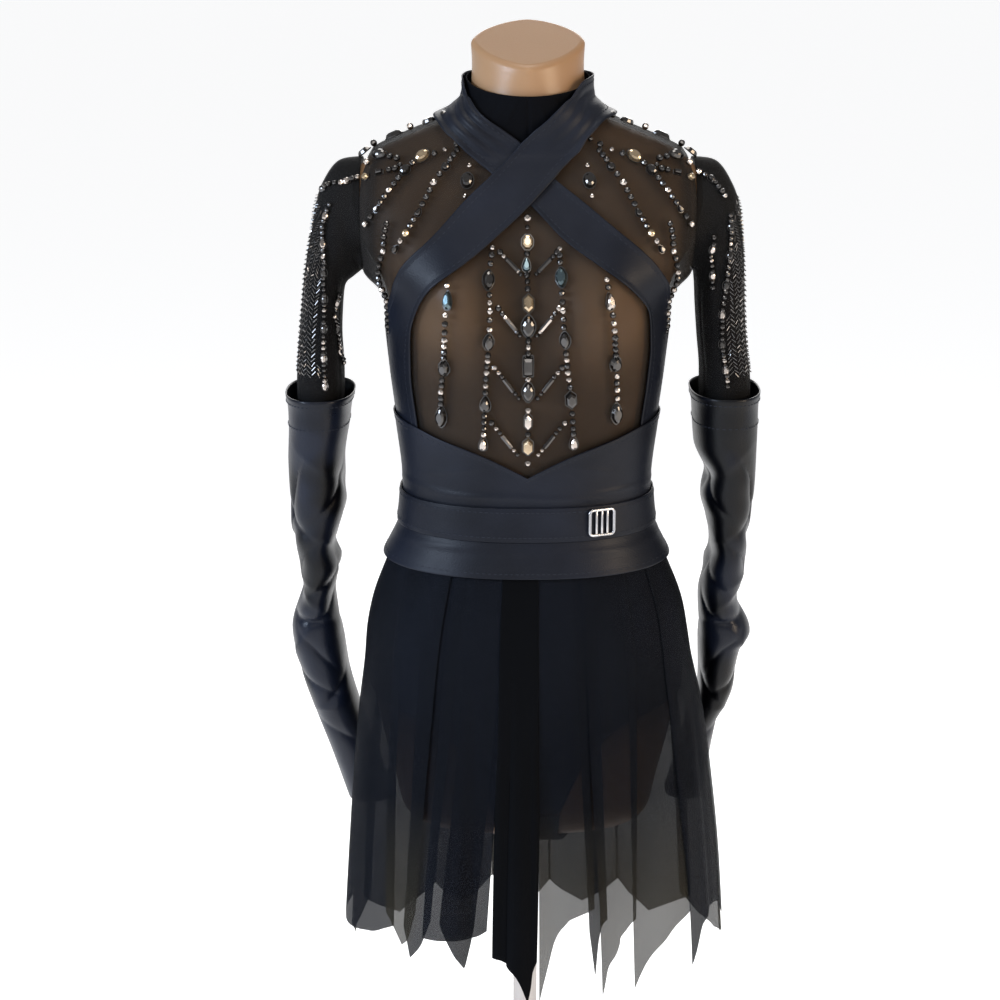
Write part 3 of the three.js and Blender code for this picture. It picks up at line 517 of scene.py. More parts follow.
def bustHighlightThinning(look):  # the mesh is thinned over the bust, where it stretches, and the opening is placed and sized to show the form through as a painted highlight; the mesh lies double at the armholes
    stretchAndHighlight = None
    for side in (-1, 1):
        # centred off the bust's apex, where the painted highlight should fall
        away = distanceTo(look, (side * 0.092, -0.10, 1.238))
        part = remap(look, away, 0.025, 0.085, 0.17, 0.0)
        stretchAndHighlight = part if stretchAndHighlight is None else mathNode(look, "MAXIMUM", stretchAndHighlight, part)
    across = mathNode(look, "ABSOLUTE", axisOf(look, "X"), 0.0)
    return mathNode(look, "ADD", stretchAndHighlight, remap(look, across, 0.141, 0.153, 0.0, -0.26))


def atShoulder(look):  # beads and folds hide the mesh lower down
    return remap(look, axisOf(look, "Z"), 1.245, 1.315, 0.0, 0.12)


def downSkirt(share):  # a lining layer ends above the points of the skirt
    return lambda look: remap(look, axisOf(look, "Z"), 0.80, 0.90, share, 0.0)


def jerseyLook(name, dark, light):
    look = newMaterial(name, {"Roughness": 0.78, "Specular IOR Level": 0.05})
    cloud = noise(look, scaledPlace(look, (1, 1, 0.5)), 14, 3)
    link(look, blended(look, cloud, dark, light), "Base Color")
    bumped(look, ridges(look, 420, 0.6, "X"), 0.12, 0.0002)
    return look


def coatedLook(name, dark, light, shine, rough, toneAndShadeRange=(0.3, 0.7)):
    look = newMaterial(name, {"Specular IOR Level": shine})
    place = scaledPlace(look)
    grain = addNode(look, "TexVoronoi", {"Vector": place, "Scale": 620, "Randomness": 0.9},
                    feature="F1").outputs["Distance"]
    pores = noise(look, place, 900, 2)
    cloud = noise(look, place, 18, 4, 0.6)
    # random patches of the two colours: tone variation on the coated cloth, and painted highlight
    # and fold shade on the gauntlets, where the range is narrow and the colours far apart
    toneAndPaintedShade = remap(look, noise(look, place, 12, 2), *toneAndShadeRange, 0.0, 1.0)
    link(look, blended(look, toneAndPaintedShade, dark, light), "Base Color")
    link(look, remap(look, cloud, 0.3, 0.7, rough, rough + 0.14), "Roughness")
    height = mathNode(look, "ADD", grain, mathNode(look, "MULTIPLY", pores, 0.5))
    bumped(look, height, 0.35, 0.00035)
    return look


def plasticLook():
    look = newMaterial("formPlastic", {
        "Specular IOR Level": 0.26, "Subsurface Weight": 0.05, "Subsurface Scale": 0.008,
        "Subsurface Radius": (1.0, 0.35, 0.2), "Coat Weight": 0.04, "Coat Roughness": 0.3,
    })
    place = scaledPlace(look)
    cloud = noise(look, place, 11, 4)
    speck = noise(look, place, 700, 2)
    link(look, blended(look, cloud, (0.240, 0.138, 0.073), (0.284, 0.167, 0.088)), "Base Color")
    link(look, remap(look, speck, 0.3, 0.7, 0.30, 0.42), "Roughness")
    bumped(look, speck, 0.06, 0.0003)
    return look


def steelLook(name, colour, roughness, stretch):
    look = newMaterial(name, {"Metallic": 1.0, "Anisotropic": 0.4})
    brushed = noise(look, scaledPlace(look, stretch), 900, 2)
    wear = noise(look, scaledPlace(look), 30, 4)
    link(look, blended(look, wear, colour, tuple(min(c * 1.2, 1) for c in colour)), "Base Color")
    link(look, remap(look, brushed, 0.3, 0.7, roughness - 0.06, roughness + 0.1), "Roughness")
    bumped(look, brushed, 0.1, 0.0001)
    return look


def stoneLook(name, colour, metallic, roughness, film=0.0):
    look = newMaterial(name, {
        "Metallic": metallic, "Specular IOR Level": 0.8, "Coat Weight": 0.7,
        "Coat Roughness": 0.03, "Thin Film Thickness": film, "Thin Film IOR": 1.6,
    })
    cloud = noise(look, scaledPlace(look), 160, 2)
    light = tuple(min(c * 1.8 + 0.01, 1) for c in colour)
    link(look, blended(look, cloud, colour, light), "Base Color")
    link(look, remap(look, cloud, 0.3, 0.7, roughness, roughness + 0.08), "Roughness")
    return look


# Each look has its dark colour, then its light one. In the sheer looks the two are blended as
# painted fold shade, and in the gauntlet cloth as painted highlight and fold shade.
skirtColours = [(0.0006, 0.0009, 0.0018), (0.0036, 0.0052, 0.0096)]
lowSkirtColours = [(0.014, 0.0125, 0.009), (0.026, 0.023, 0.016)]
# the bodice mesh is made more see-through over the bust as a painted highlight
bodiceMesh = sheerLook(
    "bodiceMesh", 0.47, (0.010, 0.009, 0.008), (0.019, 0.017, 0.016), 300, bustHighlightThinning)
skirtMesh = sheerLook("skirtMesh", 0.90, *skirtColours, 340, downSkirt(0.25), lowSkirtColours)
denseMesh = sheerLook("denseMesh", 0.90, *skirtColours, 340, downSkirt(0.15))
sleeveMesh = sheerLook(
    "sleeveMesh", 0.87, (0.0025, 0.0026, 0.0034), (0.0085, 0.0080, 0.0075), 300, atShoulder)
centreJersey = jerseyLook("centreJersey", (0.0002, 0.0003, 0.0004), (0.0012, 0.0016, 0.0028))
bodyJersey = jerseyLook("bodyJersey", (0.0006, 0.0007, 0.0012), (0.0018, 0.0022, 0.0038))
# the gauntlet's dark and light colours are painted fold shade and highlight, laid in sharp random
# patches
gauntletCloth = coatedLook("gauntletCloth", (0.0005, 0.0007, 0.0016), (0.0050, 0.0072, 0.0150),
                           0.19, 0.27, (0.44, 0.58))
coatedCloth = coatedLook(
    "coatedCloth", (0.0032, 0.0042, 0.0078), (0.0072, 0.0092, 0.0160), 0.15, 0.38)
formPlastic = plasticLook()
brushedSteel = steelLook("brushedSteel", (0.34, 0.32, 0.31), 0.34, (1, 1, 0.02))
buckleMetal = steelLook("buckleMetal", (0.42, 0.42, 0.44), 0.22, (1, 0.05, 1))
threadLook = jerseyLook("thread", (0.014, 0.016, 0.022), (0.026, 0.029, 0.038))
stoneLooks = {
    "hematite": stoneLook("hematite", (0.030, 0.027, 0.025), 0.9, 0.08),
    "silver": stoneLook("silverStone", (0.34, 0.30, 0.27), 1.0, 0.10),
    "champagne": stoneLook("champagneStone", (0.30, 0.225, 0.14), 0.85, 0.12),
    "aurora": stoneLook("auroraStone", (0.055, 0.085, 0.095), 0.9, 0.08, 420.0),
    "jet": stoneLook("jetStone", (0.012, 0.011, 0.011), 0.6, 0.06),
    "setting": stoneLook("settingMetal", (0.010, 0.008, 0.007), 0.6, 0.3),
}
stoneNames = list(stoneLooks)
print("materials ready")

# ---- stand and form

stand = {
    "baseRadius": 180, "baseHeight": 12, "rim": 3, "socketRadius": 23, "socketHeight": 42,
    "poleRadius": 12.5, "poleRing": 2.5, "formBottom": -338,
}


def makeStand():
    base, socket, pole = stand["baseRadius"], stand["socketRadius"], stand["poleRadius"]
    ring = stand["poleRing"]
    low = stand["baseHeight"] + cut["seam"]
    high = low + stand["socketHeight"]
    top = waist + stand["formBottom"] - cut["seam"]
    spunPiece("standBase", [
        (0, 0), (base - 6, 0), (base, 2), (base, 9), (base - stand["rim"], stand["baseHeight"]),
        (base - 16, stand["baseHeight"]), (0, stand["baseHeight"]),
    ], brushedSteel, ["stand_base"], 128)
    spunPiece("standSocket", [
        (0, low), (socket, low), (socket, low + 8), (socket - 2, low + 10),
        (socket - 2, high - 12),
        (socket - 1, high - 10), (socket - 1, high - 3), (socket - 4, high), (0, high),
    ], brushedSteel, ["stand_socket"])
    spunPiece("standPole", [
        (0, high + cut["seam"]), (pole, high + cut["seam"]), (pole, top - 26),
        (pole + ring, top - 24), (pole + ring, top - 6), (pole, top - 4), (pole, top), (0, top),
    ], brushedSteel, ["stand_pole"])


formShape = {"columns": 112, "rows": 150, "neckTop": 452, "slant": 23, "slantStart": 395, "lip": 5}


def makeForm():
    columns, rows = (round(formShape[key] * coarse) for key in ("columns", "rows"))
    lip, top, bottom = formShape["lip"], formShape["neckTop"], stand["formBottom"]
    lipRows = 5
    work = bmesh.new()
    bmesh.ops.create_grid(work, x_segments=columns, y_segments=rows + lipRows, size=0.5)
    for vert in work.verts:
        around = 360 * (vert.co.x + 0.5)
        row = (vert.co.y + 0.5) * (rows + lipRows)
        rise = mix(bottom, top - lip, min(row / rows, 1))
        inset = lifts["form"]
        if row > rows:
            bend = (row - rows) / lipRows * math.pi / 2
            rise = top - lip + lip * math.sin(bend)
            inset -= lip * (1 - math.cos(bend))
        point = lifted(figurePoint, around, rise, inset)
        slant = ramp(rise, formShape["slantStart"], top)
        point.z = max(point.z, waist + bottom)
        point.z += slant * formShape["slant"] * point.y / figureAt(top)[1]
        vert.co = point * mm
    bmesh.ops.remove_doubles(work, verts=work.verts, dist=1e-6)
    rim = [edge for edge in work.edges if edge.is_boundary]
    caps = bmesh.ops.holes_fill(work, edges=rim)["faces"]
    bmesh.ops.recalc_face_normals(work, faces=work.faces)
    work.faces.index_update()
    flat = [cap.index for cap in caps]
    piece = finishPiece("dressForm", work, [formPlastic], ["form_body"])
    for index in flat:
        piece.data.polygons[index].use_smooth = False
    return piece


makeStand()
dressForm = makeForm()
print("stand and form made")

# ---- bodice and collar


def collarSeam(around):
    turn = (around + 180) % 360 - 180
    seam = collarShape["seam"]
    return seam["rise"] - seam["dip"] * cosine(around) - seam["vee"] * bell(turn, seam["veeWidth"])


def collarTop(around):
    return collarShape["topRise"] - collarShape["topDip"] * cosine(around)


bodiceShape = {"size": (130, 130), "low": 2, "high": 372, "seamFrom": 0.80, "thickness": 1.0}
collarShape = {
    "size": (220, 26), "thickness": 1.1, "seamWidth": 1.6, "seamDepth": 0.9, "topRise": 417,
    "topDip": 14, "roll": 0.7, "rollWidth": 0.12, "deepest": -0.8,
    "seam": {"rise": 385, "dip": 7, "vee": 27, "veeWidth": 34},
    "folds": tableOf(creaseColumns, [
        (-16, 388, 62, 22, 1.8, 0.9),
        (-30, 392, 66, 24, 2.0, -0.8),
        (14, 386, 118, 22, 1.8, 0.8),
        (32, 392, 112, 26, 2.2, -0.9),
        (52, 400, 100, 20, 2.4, 0.8),
        (-58, 402, 82, 20, 2.4, 0.8),
    ]),
}


def inHalf(isBack, point):  # keeps half a seam clear of the plane through the sides
    edge = cut["seam"] / 2
    point.y = max(point.y, edge) if isBack else min(point.y, -edge)
    return point


def bodicePoint(isBack, u, v, lift):
    plain = mix(bodiceShape["low"], bodiceShape["high"], v)
    across = mix(-1, 1, u) * armholeAngle(plain, isBack)
    turn = 180 - across if isBack else across
    seamRise = collarSeam(turn) - cut["seam"]
    rise = plain + (seamRise - bodiceShape["high"]) * ramp(v, bodiceShape["seamFrom"], 1)
    point = onBodice(turn, rise, lift)
    side = cut["armhole"] - cut["seam"] / 2
    point.x = clamp(point.x, -side, side)
    return inHalf(isBack, point)


def collarPoint(u, v, lift):
    around = 360 * u - 180
    rise = mix(collarSeam(around) + cut["seam"], collarTop(around), v)
    roll = collarShape["roll"] * bell(v - 1, collarShape["rollWidth"])
    seam = -collarShape["seamDepth"] * bell(around, collarShape["seamWidth"])
    fold = creaseAt(collarShape["folds"], around, rise)
    return onBodice(around, rise, lift + max(roll + seam + fold, collarShape["deepest"]))


bodiceFront, bodiceBack = (
    clothPiece(name, bodiceShape, functools.partial(bodicePoint, isBack), bodiceMesh,
               [node], lifts["bodice"])
    for name, node, isBack in (
        ("bodiceFront", "bodice_front", False), ("bodiceBack", "bodice_back", True))
)
collar = clothPiece("neckCollar", collarShape, collarPoint, bodyJersey,
                    ["collar"], lifts["bodice"], ring=True)
print("bodice and collar made")

# ---- bands, yoke, belt and basque

bandColumns = ["upAround", "upRise", "lowAround", "lowRise", "over"]
bandShape = {
    "size": (28, 260), "thickness": 1.2, "roll": 0.9, "rollWidth": 0.09, "pleats": 3.6,
    "pleatDepth": 2.3, "pleatFrom": 0.14, "pleatTo": 0.41,
}
overBandEdges = tableOf(bandColumns, [
    (179.5, 420, 179.5, 388, 0.6),
    (150, 421, 150, 386, 0.6),
    (115, 421, 115, 384, 0.6),
    (84, 419, 88, 379, 0.6),
    (57, 415, 64, 376, 0.6),
    (37, 399, 50, 365, 0.8),
    (17, 383, 42, 350, 1),
    (-7, 360, 25, 330, 1),
    (-28, 330, 4, 306, 1),
    (-39, 306, -18, 277, 1),
    (-48, 272, -33, 252, 0.5),
    (-56, 248, -46, 228, 0),
    (-62, 226, -53, 205, 0),
    (-72, 202, -57, 185, 0),
    (-84, 172, -59, 158, 0),
    (-89, 138, -60, 132, 0),
    (-89, 108, -60, 106, 0),
    (-89, 76, -60, 76, 0),
])
underBandEdges = tableOf(bandColumns, [
    (-179.5, 420, -179.5, 388, 0.6),
    (-150, 421, -150, 386, 0.6),
    (-115, 421, -115, 384, 0.6),
    (-84, 416, -90, 378, 0.6),
    (-64, 400, -70, 372, 0.6),
    (-46, 388, -57, 361, 0.6),
    (-25, 374, -44, 344, 0.3),
    (-6, 358, -27, 328, 0),
    (18, 330, 4, 300, 0),
    (36, 304, 21, 273, 0),
    (48, 274, 36, 250, 0),
    (57, 248, 48, 227, 0),
    (66, 223, 57, 205, 0),
    (75, 198, 60, 184, 0),
    (85, 168, 62, 158, 0),
    (89, 138, 62, 132, 0),
    (89, 108, 62, 106, 0),
    (89, 76, 62, 76, 0),
])


def ordered(rows):
    return [{**row, "order": i / (len(rows) - 1)} for i, row in enumerate(rows)]


def bandSurface(rows, pleatDepth):
    edgesAt = readerOf(ordered(rows), "order", bandColumns)

    def point(u, v, lift):
        upAround, upRise, lowAround, lowRise, over = edgesAt(v)
        edge = min(u, 1 - u) / bandShape["rollWidth"]
        roll = bandShape["roll"] * math.exp(-edge * edge)
        fade = ramp(v, bandShape["pleatFrom"], 0.24) * (1 - ramp(v, 0.30, bandShape["pleatTo"]))
        pleat = pleatDepth * fade * (0.5 + 0.5 * math.cos(math.tau * bandShape["pleats"] * u))
        return onBodice(mix(lowAround, upAround, u), mix(lowRise, upRise, u),
                        lift + lifts["crossing"] * over + roll + pleat)

    return point


overBandPoint = bandSurface(overBandEdges, 1.0)
underBandPoint = bandSurface(underBandEdges, bandShape["pleatDepth"])
underBand = clothPiece(
    "underBand", bandShape, underBandPoint, coatedCloth, ["band_under"],
    lifts["band"])
overBand = clothPiece(
    "overBand", bandShape, overBandPoint, coatedCloth, ["band_over"],
    lifts["band"])

# the rise of the yoke's top line at angles around
yokeTop = smoothCurve((0, 8, 25, 47, 62, 80, 180), (47, 54, 68, 82, 91, 96, 92))
yokeShape = {
    "size": (240, 50), "thickness": 1.2, "low": 5, "roll": 0.8, "rollWidth": 0.06,
    "creases": tableOf(creaseColumns, [
        (-30, 27, 2, 60, 3.0, 1.1),
        (20, 25, -3, 50, 2.6, 1.0),
        (52, 30, 4, 30, 2.4, 0.9),
        (-62, 31, -6, 36, 2.8, 0.9),
        (-45, 50, 20, 30, 2.6, 0.5),
        (40, 52, -22, 26, 2.6, 0.5),
        (100, 28, 0, 60, 3.0, 0.8),
        (-110, 28, 0, 60, 3.0, 0.8),
    ]),
}
basqueShape = {
    "size": (260, 30), "thickness": 1.2, "roll": 0.5, "rollWidth": 0.1,
    "creases": tableOf(creaseColumns, [
        (-48, -26, 4, 60, 4, 0.8),
        (38, -30, -5, 50, 4, 0.7),
        (-10, -34, 2, 40, 4, 0.5),
        (82, -28, 0, 40, 4, 0.6),
    ]),
}
beltShape = {"size": (260, 26), "thickness": 1.8, "out": 0.25, "roll": 0.48, "rollWidth": 0.08}


def yokePoint(u, v, lift):
    around = 360 * u - 180
    rise = mix(yokeShape["low"], yokeTop(abs(around)), v)
    roll = yokeShape["roll"] * bell(v - 1, yokeShape["rollWidth"])
    crease = creaseAt(yokeShape["creases"], around, rise)
    return lifted(figurePoint, around, rise, lift + roll + crease)


def basquePoint(u, v, lift):
    around = 360 * u - 180
    rise = mix(cut["basqueHem"], -cut["beltHeight"] / 2 - cut["seam"], v)
    gap = mix(lifts["basqueHem"], lifts["basqueTop"], v)
    roll = basqueShape["roll"] * bell(v, basqueShape["rollWidth"])
    return lifted(figurePoint, around, rise,
                  gap + lift + roll + creaseAt(basqueShape["creases"], around, rise))


def beltPoint(u, v, lift):
    around = 360 * u - 180
    rise = mix(-cut["beltHeight"] / 2, cut["beltHeight"] / 2, v)
    edge = max(bell(v, beltShape["rollWidth"]), bell(1 - v, beltShape["rollWidth"]))
    return lifted(figurePoint, around, rise, lift + beltShape["out"] - beltShape["roll"] * edge)


yoke = clothPiece(
    "waistYoke", yokeShape, yokePoint, coatedCloth, ["waist_yoke"],
    lifts["yoke"], ring=True)
basque = clothPiece(
    "hipBasque", basqueShape, basquePoint, coatedCloth, ["basque"],
    0, ring=True)
belt = clothPiece(
    "waistBelt", beltShape, beltPoint, coatedCloth, ["belt"],
    lifts["belt"], ring=True)
print("bands, yoke, belt and basque made")

# ---- buckle


def joinRings(work, low, high):
    pairs = zip(range(len(low)), [*range(1, len(low)), 0])
    return [work.faces.new((low[i], low[j], high[j], high[i])) for i, j in pairs]


def bevelEdges(work, edges, width, segments):
    bmesh.ops.bevel(work, geom=edges, offset=width, segments=segments, profile=0.5,
                    material=-1, affect="EDGES")


buckle = {
    "width": 28, "height": 27.5, "frame": 2.5, "thickness": 2.6, "bar": 2.2, "bars": 3,
    "barInset": 0.8, "around": 41, "rise": 1, "corner": 5, "seat": 0.9, "segments": 12,
}


def roundedOutline(width, height, corner, segments):
    points = []
    for quarter in range(4):
        centreX = (width / 2 - corner) * (1 if quarter in (0, 3) else -1)
        centreY = (height / 2 - corner) * (1 if quarter in (0, 1) else -1)
        for i in range(segments + 1):
            turn = math.pi / 2 * (quarter + i / segments)
            points.append((centreX + corner * math.cos(turn), centreY + corner * math.sin(turn)))
    return points


def makeBuckle():
    def seatAt(lift):
        return lifted(figurePoint, buckle["around"], buckle["rise"],
                      lifts["belt"] + beltShape["thickness"] + lift)

    seat = seatAt(buckle["seat"])
    out = seatAt(buckle["width"]) - seat
    out.z = 0
    out.normalize()
    up = Vector((0, 0, 1))
    turn = Matrix((up.cross(out), up, out)).transposed().to_4x4()
    place = Matrix.Translation(seat) @ turn
    work = bmesh.new()
    openWidth = buckle["width"] - 2 * buckle["frame"]
    openHeight = buckle["height"] - 2 * buckle["frame"]
    outer = roundedOutline(buckle["width"], buckle["height"], buckle["corner"], buckle["segments"])
    inner = roundedOutline(openWidth, openHeight, 2, buckle["segments"])
    rings = [[work.verts.new((x, y, height)) for x, y in outline]
             for outline, height in ((outer, 0), (outer, buckle["thickness"]),
                                     (inner, buckle["thickness"]), (inner, 0))]
    for low, high in zip(rings, rings[1:] + rings[:1]):
        joinRings(work, low, high)
    bevelEdges(work, [edge for edge in work.edges if edge.calc_face_angle(0) > 1], 0.7, 4)
    for i in range(buckle["bars"]):
        x = openWidth * (i + 1) / (buckle["bars"] + 1) - openWidth / 2
        depth = buckle["thickness"] - buckle["barInset"]
        shape = Matrix.Translation((x, 0, buckle["thickness"] / 2)) @ Matrix.Diagonal(
            (buckle["bar"], openHeight + buckle["frame"], depth, 1))
        made = bmesh.ops.create_cube(work, size=1, matrix=shape)["verts"]
        bevelEdges(work, list({edge for vert in made for edge in vert.link_edges}), 0.4, 2)
    bmesh.ops.recalc_face_normals(work, faces=work.faces)
    bmesh.ops.transform(work, matrix=Matrix.Scale(mm, 4) @ place, verts=work.verts)
    finishPiece("beltBuckle", work, [buckleMetal], ["belt_buckle"])


makeBuckle()
print("buckle made")

# ---- briefs

legLine = tableOf(["around", "front", "back"], [
    (0, -300, -300),
    (20, -300, -300),
    (27, -267, -292),
    (31, -246, -282),
    (37, -227, -268),
    (47, -207, -248),
    (60, -197, -224),
    (71, -190, -204),
    (90, -186, -186),
])
gussetPath = tableOf(["y", "rise", "centre", "half"], [
    (-88, -300.4, 0, 33),
    (-84, -318, 0, 32),
    (-72, -333, 6, 28),
    (-52, -338.6, 18, 22),
    (-26, -338.8, 32, 16),
    (26, -338.8, 32, 16),
    (56, -338.6, 18, 24),
    (78, -333, 6, 32),
    (93, -318, 0, 38),
    (100, -300.4, 0, 42),
])
briefsShape = {"size": (120, 60), "top": -2, "thickness": 1.0}
gussetShape = {"size": (16, 48), "thickness": 1.0}
legAt = readerOf(legLine, "around", ["front", "back"])
gussetAt = readerOf(ordered(gussetPath), "order", ["y", "rise", "centre", "half"])


def briefsPoint(isBack, u, v, lift):
    turn = mix(-90, 90, u)
    front, back = legAt(abs(turn))
    rise = mix(back if isBack else front, briefsShape["top"], v)
    return inHalf(isBack, lifted(figurePoint, 180 - turn if isBack else turn, rise, lift))


def gussetPoint(u, v, lift):
    step = 0.02
    before, after = gussetAt(max(v - step, 0)), gussetAt(min(v + step, 1))
    ahead = Vector((after[0] - before[0], after[1] - before[1])).normalized()
    y, rise, centre, half = gussetAt(v)
    return Vector((
        centre + half * mix(-1, 1, u), y + ahead.y * lift, waist + rise - ahead.x * lift))


for name, node, shape, surface in (
    ("briefsFront", "briefs_front", briefsShape, functools.partial(briefsPoint, False)),
    ("briefsBack", "briefs_back", briefsShape, functools.partial(briefsPoint, True)),
    ("briefsGusset", "briefs_gusset", gussetShape, gussetPoint),
):
    clothPiece(name, shape, surface, bodyJersey, [node],
               lifts["briefs"])
print("briefs made")

# ---- skirt

skirtSections = tableOf(["rise", "right", "left", "front", "back"], [
    (-40, 131, 131, 94.5, 93.3),
    (-56, 137.4, 137.4, 98, 97.8),
    (-105, 155, 156, 106, 111),
    (-132, 160, 161, 109, 118),
    (-158, 162, 165, 111, 122),
    (-212, 168, 176, 113, 127),
    (-300, 174, 187, 118, 131),
    (-378, 179, 196, 123, 134),
    (-510, 187, 206, 130, 138),
])
foldColumns = ["around", "spread", "depth"]
skirtFolds = tableOf(foldColumns, [
    (-74, 9, 7),
    (-52, 7, -6),
    (-36, 6, 6),
    (-20, 5, -5),
    (-4, 5, 6),
    (12, 5, -6),
    (26, 6, 7),
    (44, 6, -6),
    (60, 7, 7),
    (80, 8, -5),
    (104, 9, 4),
    (126, 9, -6),
    (148, 9, 7),
    (172, 9, -6),
    (196, 9, 7),
    (220, 9, -6),
    (246, 9, 5),
    (266, 8, -5),
])
fineFolds = tableOf(foldColumns, [
    (-84, 2.6, 1.6),
    (-66, 2.2, -1.8),
    (-58, 2.0, 1.7),
    (-45, 1.9, -1.7),
    (-30, 1.8, 1.6),
    (-25, 1.7, -1.8),
    (-13, 1.8, 1.7),
    (-8, 1.5, -1.6),
    (4, 1.6, 1.6),
    (19, 1.7, -1.6),
    (35, 1.8, 1.7),
    (39, 1.6, -1.5),
    (53, 2.0, 1.6),
    (70, 2.2, 1.8),
    (75, 2.0, -1.6),
    (92, 2.6, 1.6),
    (115, 3, 1.8),
    (137, 3, -1.8),
    (160, 3, 1.8),
    (184, 3, -1.8),
    (208, 3, 1.8),
    (233, 3, -1.8),
    (256, 3, 1.8),
])
skirtShape = {
    "size": (30, 90), "power": 2.3, "top": -50, "foldStart": 150, "foldFull": 440, "fineStart": 90,
    "fineFull": 330, "closing": 1.3, "layerStart": 120, "layerFull": 330, "thickness": 0.5,
    "dense": ["front_1", "front_3", "front_4", "front_5", "front_7", "front_10"],
    "rounded": ["front_1", "front_4"],
}
gores = tableOf(["name", "top0", "top1", "hem0", "hem1", "layer", "hem"], [
    ("front_1", -92, -58, -90, -56, 1, (-428, -434, -436, -433, -420)),
    ("front_2", -62, -40, -58, -47, 2, (-405, -424, -438, -430, -400)),
    ("front_3", -48, -32, -53, -40, 0, (-420, -452, -441, -425, -405)),
    ("front_4", -38, -8, -43, -18, 1, (-424, -422, -421, -419, -412)),
    ("front_5", -28, -10, -36, -24, 0, (-405, -425, -440, -453, -410)),
    ("front_centre", -14, 6, -14, 4, 2, (-437, -441, -452, -483, -440)),
    ("front_6", 5, 30, 5, 28, 1, (-484, -440, -408, -393, -385)),
    ("front_7", 24, 34, 26, 34, 0, (-410, -458, -420, -405, -400)),
    ("front_8", 28, 50, 30, 46, 2, (-478, -446, -428, -414, -404)),
    ("front_9", 46, 66, 45, 62, 1, (-480, -450, -430, -414, -405)),
    ("front_10", 62, 92, 61, 90, 2, (-462, -425, -418, -424, -448)),
    ("back_1", 88, 118, 88, 117, 1, (-466, -478, -488, -484, -468)),
    ("back_2", 114, 144, 114, 142, 2, (-470, -486, -500, -486, -470)),
    ("back_3", 140, 170, 141, 168, 1, (-470, -490, -502, -490, -472)),
    ("back_4", 166, 196, 167, 194, 2, (-474, -492, -506, -492, -474)),
    ("back_5", 192, 222, 193, 220, 1, (-470, -490, -502, -490, -470)),
    ("back_6", 218, 248, 219, 247, 2, (-470, -486, -500, -486, -468)),
    ("back_7", 244, 273, 245, 272, 0, (-466, -482, -490, -478, -460)),
])
skirtAt = readerOf(skirtSections, "rise", ["right", "left", "front", "back"])


@functools.lru_cache(maxsize=None)
def foldsAt(around):
    sums = []
    for folds in (skirtFolds, fineFolds):
        sums.append(sum(
            fold["depth"] * bell(turnBetween(around, fold["around"]), fold["spread"])
            for fold in folds))
    return sums


def skirtPoint(around, rise):
    forward = cosine(around)
    right, left, front, back = skirtAt(rise)
    side = left if sine(around) > 0 else right
    radius = reach(around, side, front if forward > 0 else back, skirtShape["power"])
    broad, fine = foldsAt(around)
    radius += broad * ramp(-rise, skirtShape["foldStart"], skirtShape["foldFull"])
    radius += fine * ramp(-rise, skirtShape["fineStart"], skirtShape["fineFull"])
    return Vector((radius * sine(around), -radius * forward, waist + rise))


def hemCurve(values, isRounded):  # pointed at its lowest place, unless it is rounded
    places = [i / (len(values) - 1) for i in range(len(values))]
    tip = values.index(min(values))
    if isRounded or tip in (0, len(values) - 1):
        return smoothCurve(places, values)
    left = smoothCurve(places[:tip + 1], values[:tip + 1])
    right = smoothCurve(places[tip:], values[tip:])
    return lambda u: left(u) if u < places[tip] else right(u)


def gorePoint(gore, hem, u, v, lift):
    fall = v ** skirtShape["closing"]
    around = mix(mix(gore["top0"], gore["hem0"], fall), mix(gore["top1"], gore["hem1"], fall), u)
    rise = mix(skirtShape["top"], hem(u), fall)
    hang = ramp(-rise, skirtShape["layerStart"], skirtShape["layerFull"])
    step = mix(lifts["skirtTop"], lifts["skirtHem"], hang)
    return lifted(skirtPoint, around, rise, lift + gore["layer"] * step)


for gore in gores:
    hem = hemCurve(gore["hem"], gore["name"] in skirtShape["rounded"])
    look, slotName = skirtMesh, "skirt_mesh"
    if gore["name"] in skirtShape["dense"]:
        look = denseMesh
    if gore["name"] == "front_centre":
        look, slotName = centreJersey, "skirt_opaque"
    clothPiece("gore_skirt_" + gore["name"], skirtShape, functools.partial(gorePoint, gore, hem),
               look, ["skirt_" + gore["name"]], 0, isLevel=True)
print("skirt made")

# ---- sleeves and gauntlets

sleeveColumns = ["inX", "inRise", "outX", "outRise", "middle", "depth", "power"]
sleeveRings = {
    -1: tableOf(sleeveColumns, [
        (160.5, 233, 182, 337, 3, 104, 2.4),
        (164, 230, 197, 317, 4, 108, 2.4),
        (169, 226, 204, 296, 6, 112, 2.5),
        (175, 221, 209, 268, 8, 115, 2.6),
        (179, 212, 214, 234, 9, 117, 2.7),
        (181, 196, 218, 199, 9, 118, 2.7),
        (182.5, 166, 222, 162, 9, 118, 2.7),
        (181, 134, 225, 131, 10, 116, 2.7),
        (181, 102, 226, 102, 10, 104, 2.6),
    ]),
    1: tableOf(sleeveColumns, [
        (160.5, 234, 182, 337, 3, 104, 2.4),
        (161.5, 232, 197, 316, 4, 108, 2.4),
        (162.5, 229, 204, 295, 6, 112, 2.5),
        (163.5, 223, 207, 266, 8, 115, 2.6),
        (164.5, 212, 209, 232, 9, 117, 2.7),
        (165.5, 194, 210.5, 196, 9, 118, 2.7),
        (168, 164, 213.5, 161, 9, 118, 2.7),
        (171, 134, 218, 132, 10, 116, 2.7),
        (171, 102, 220, 102, 10, 104, 2.6),
    ]),
}
gauntletColumns = ["rise", "in", "out", "middle", "depth"]
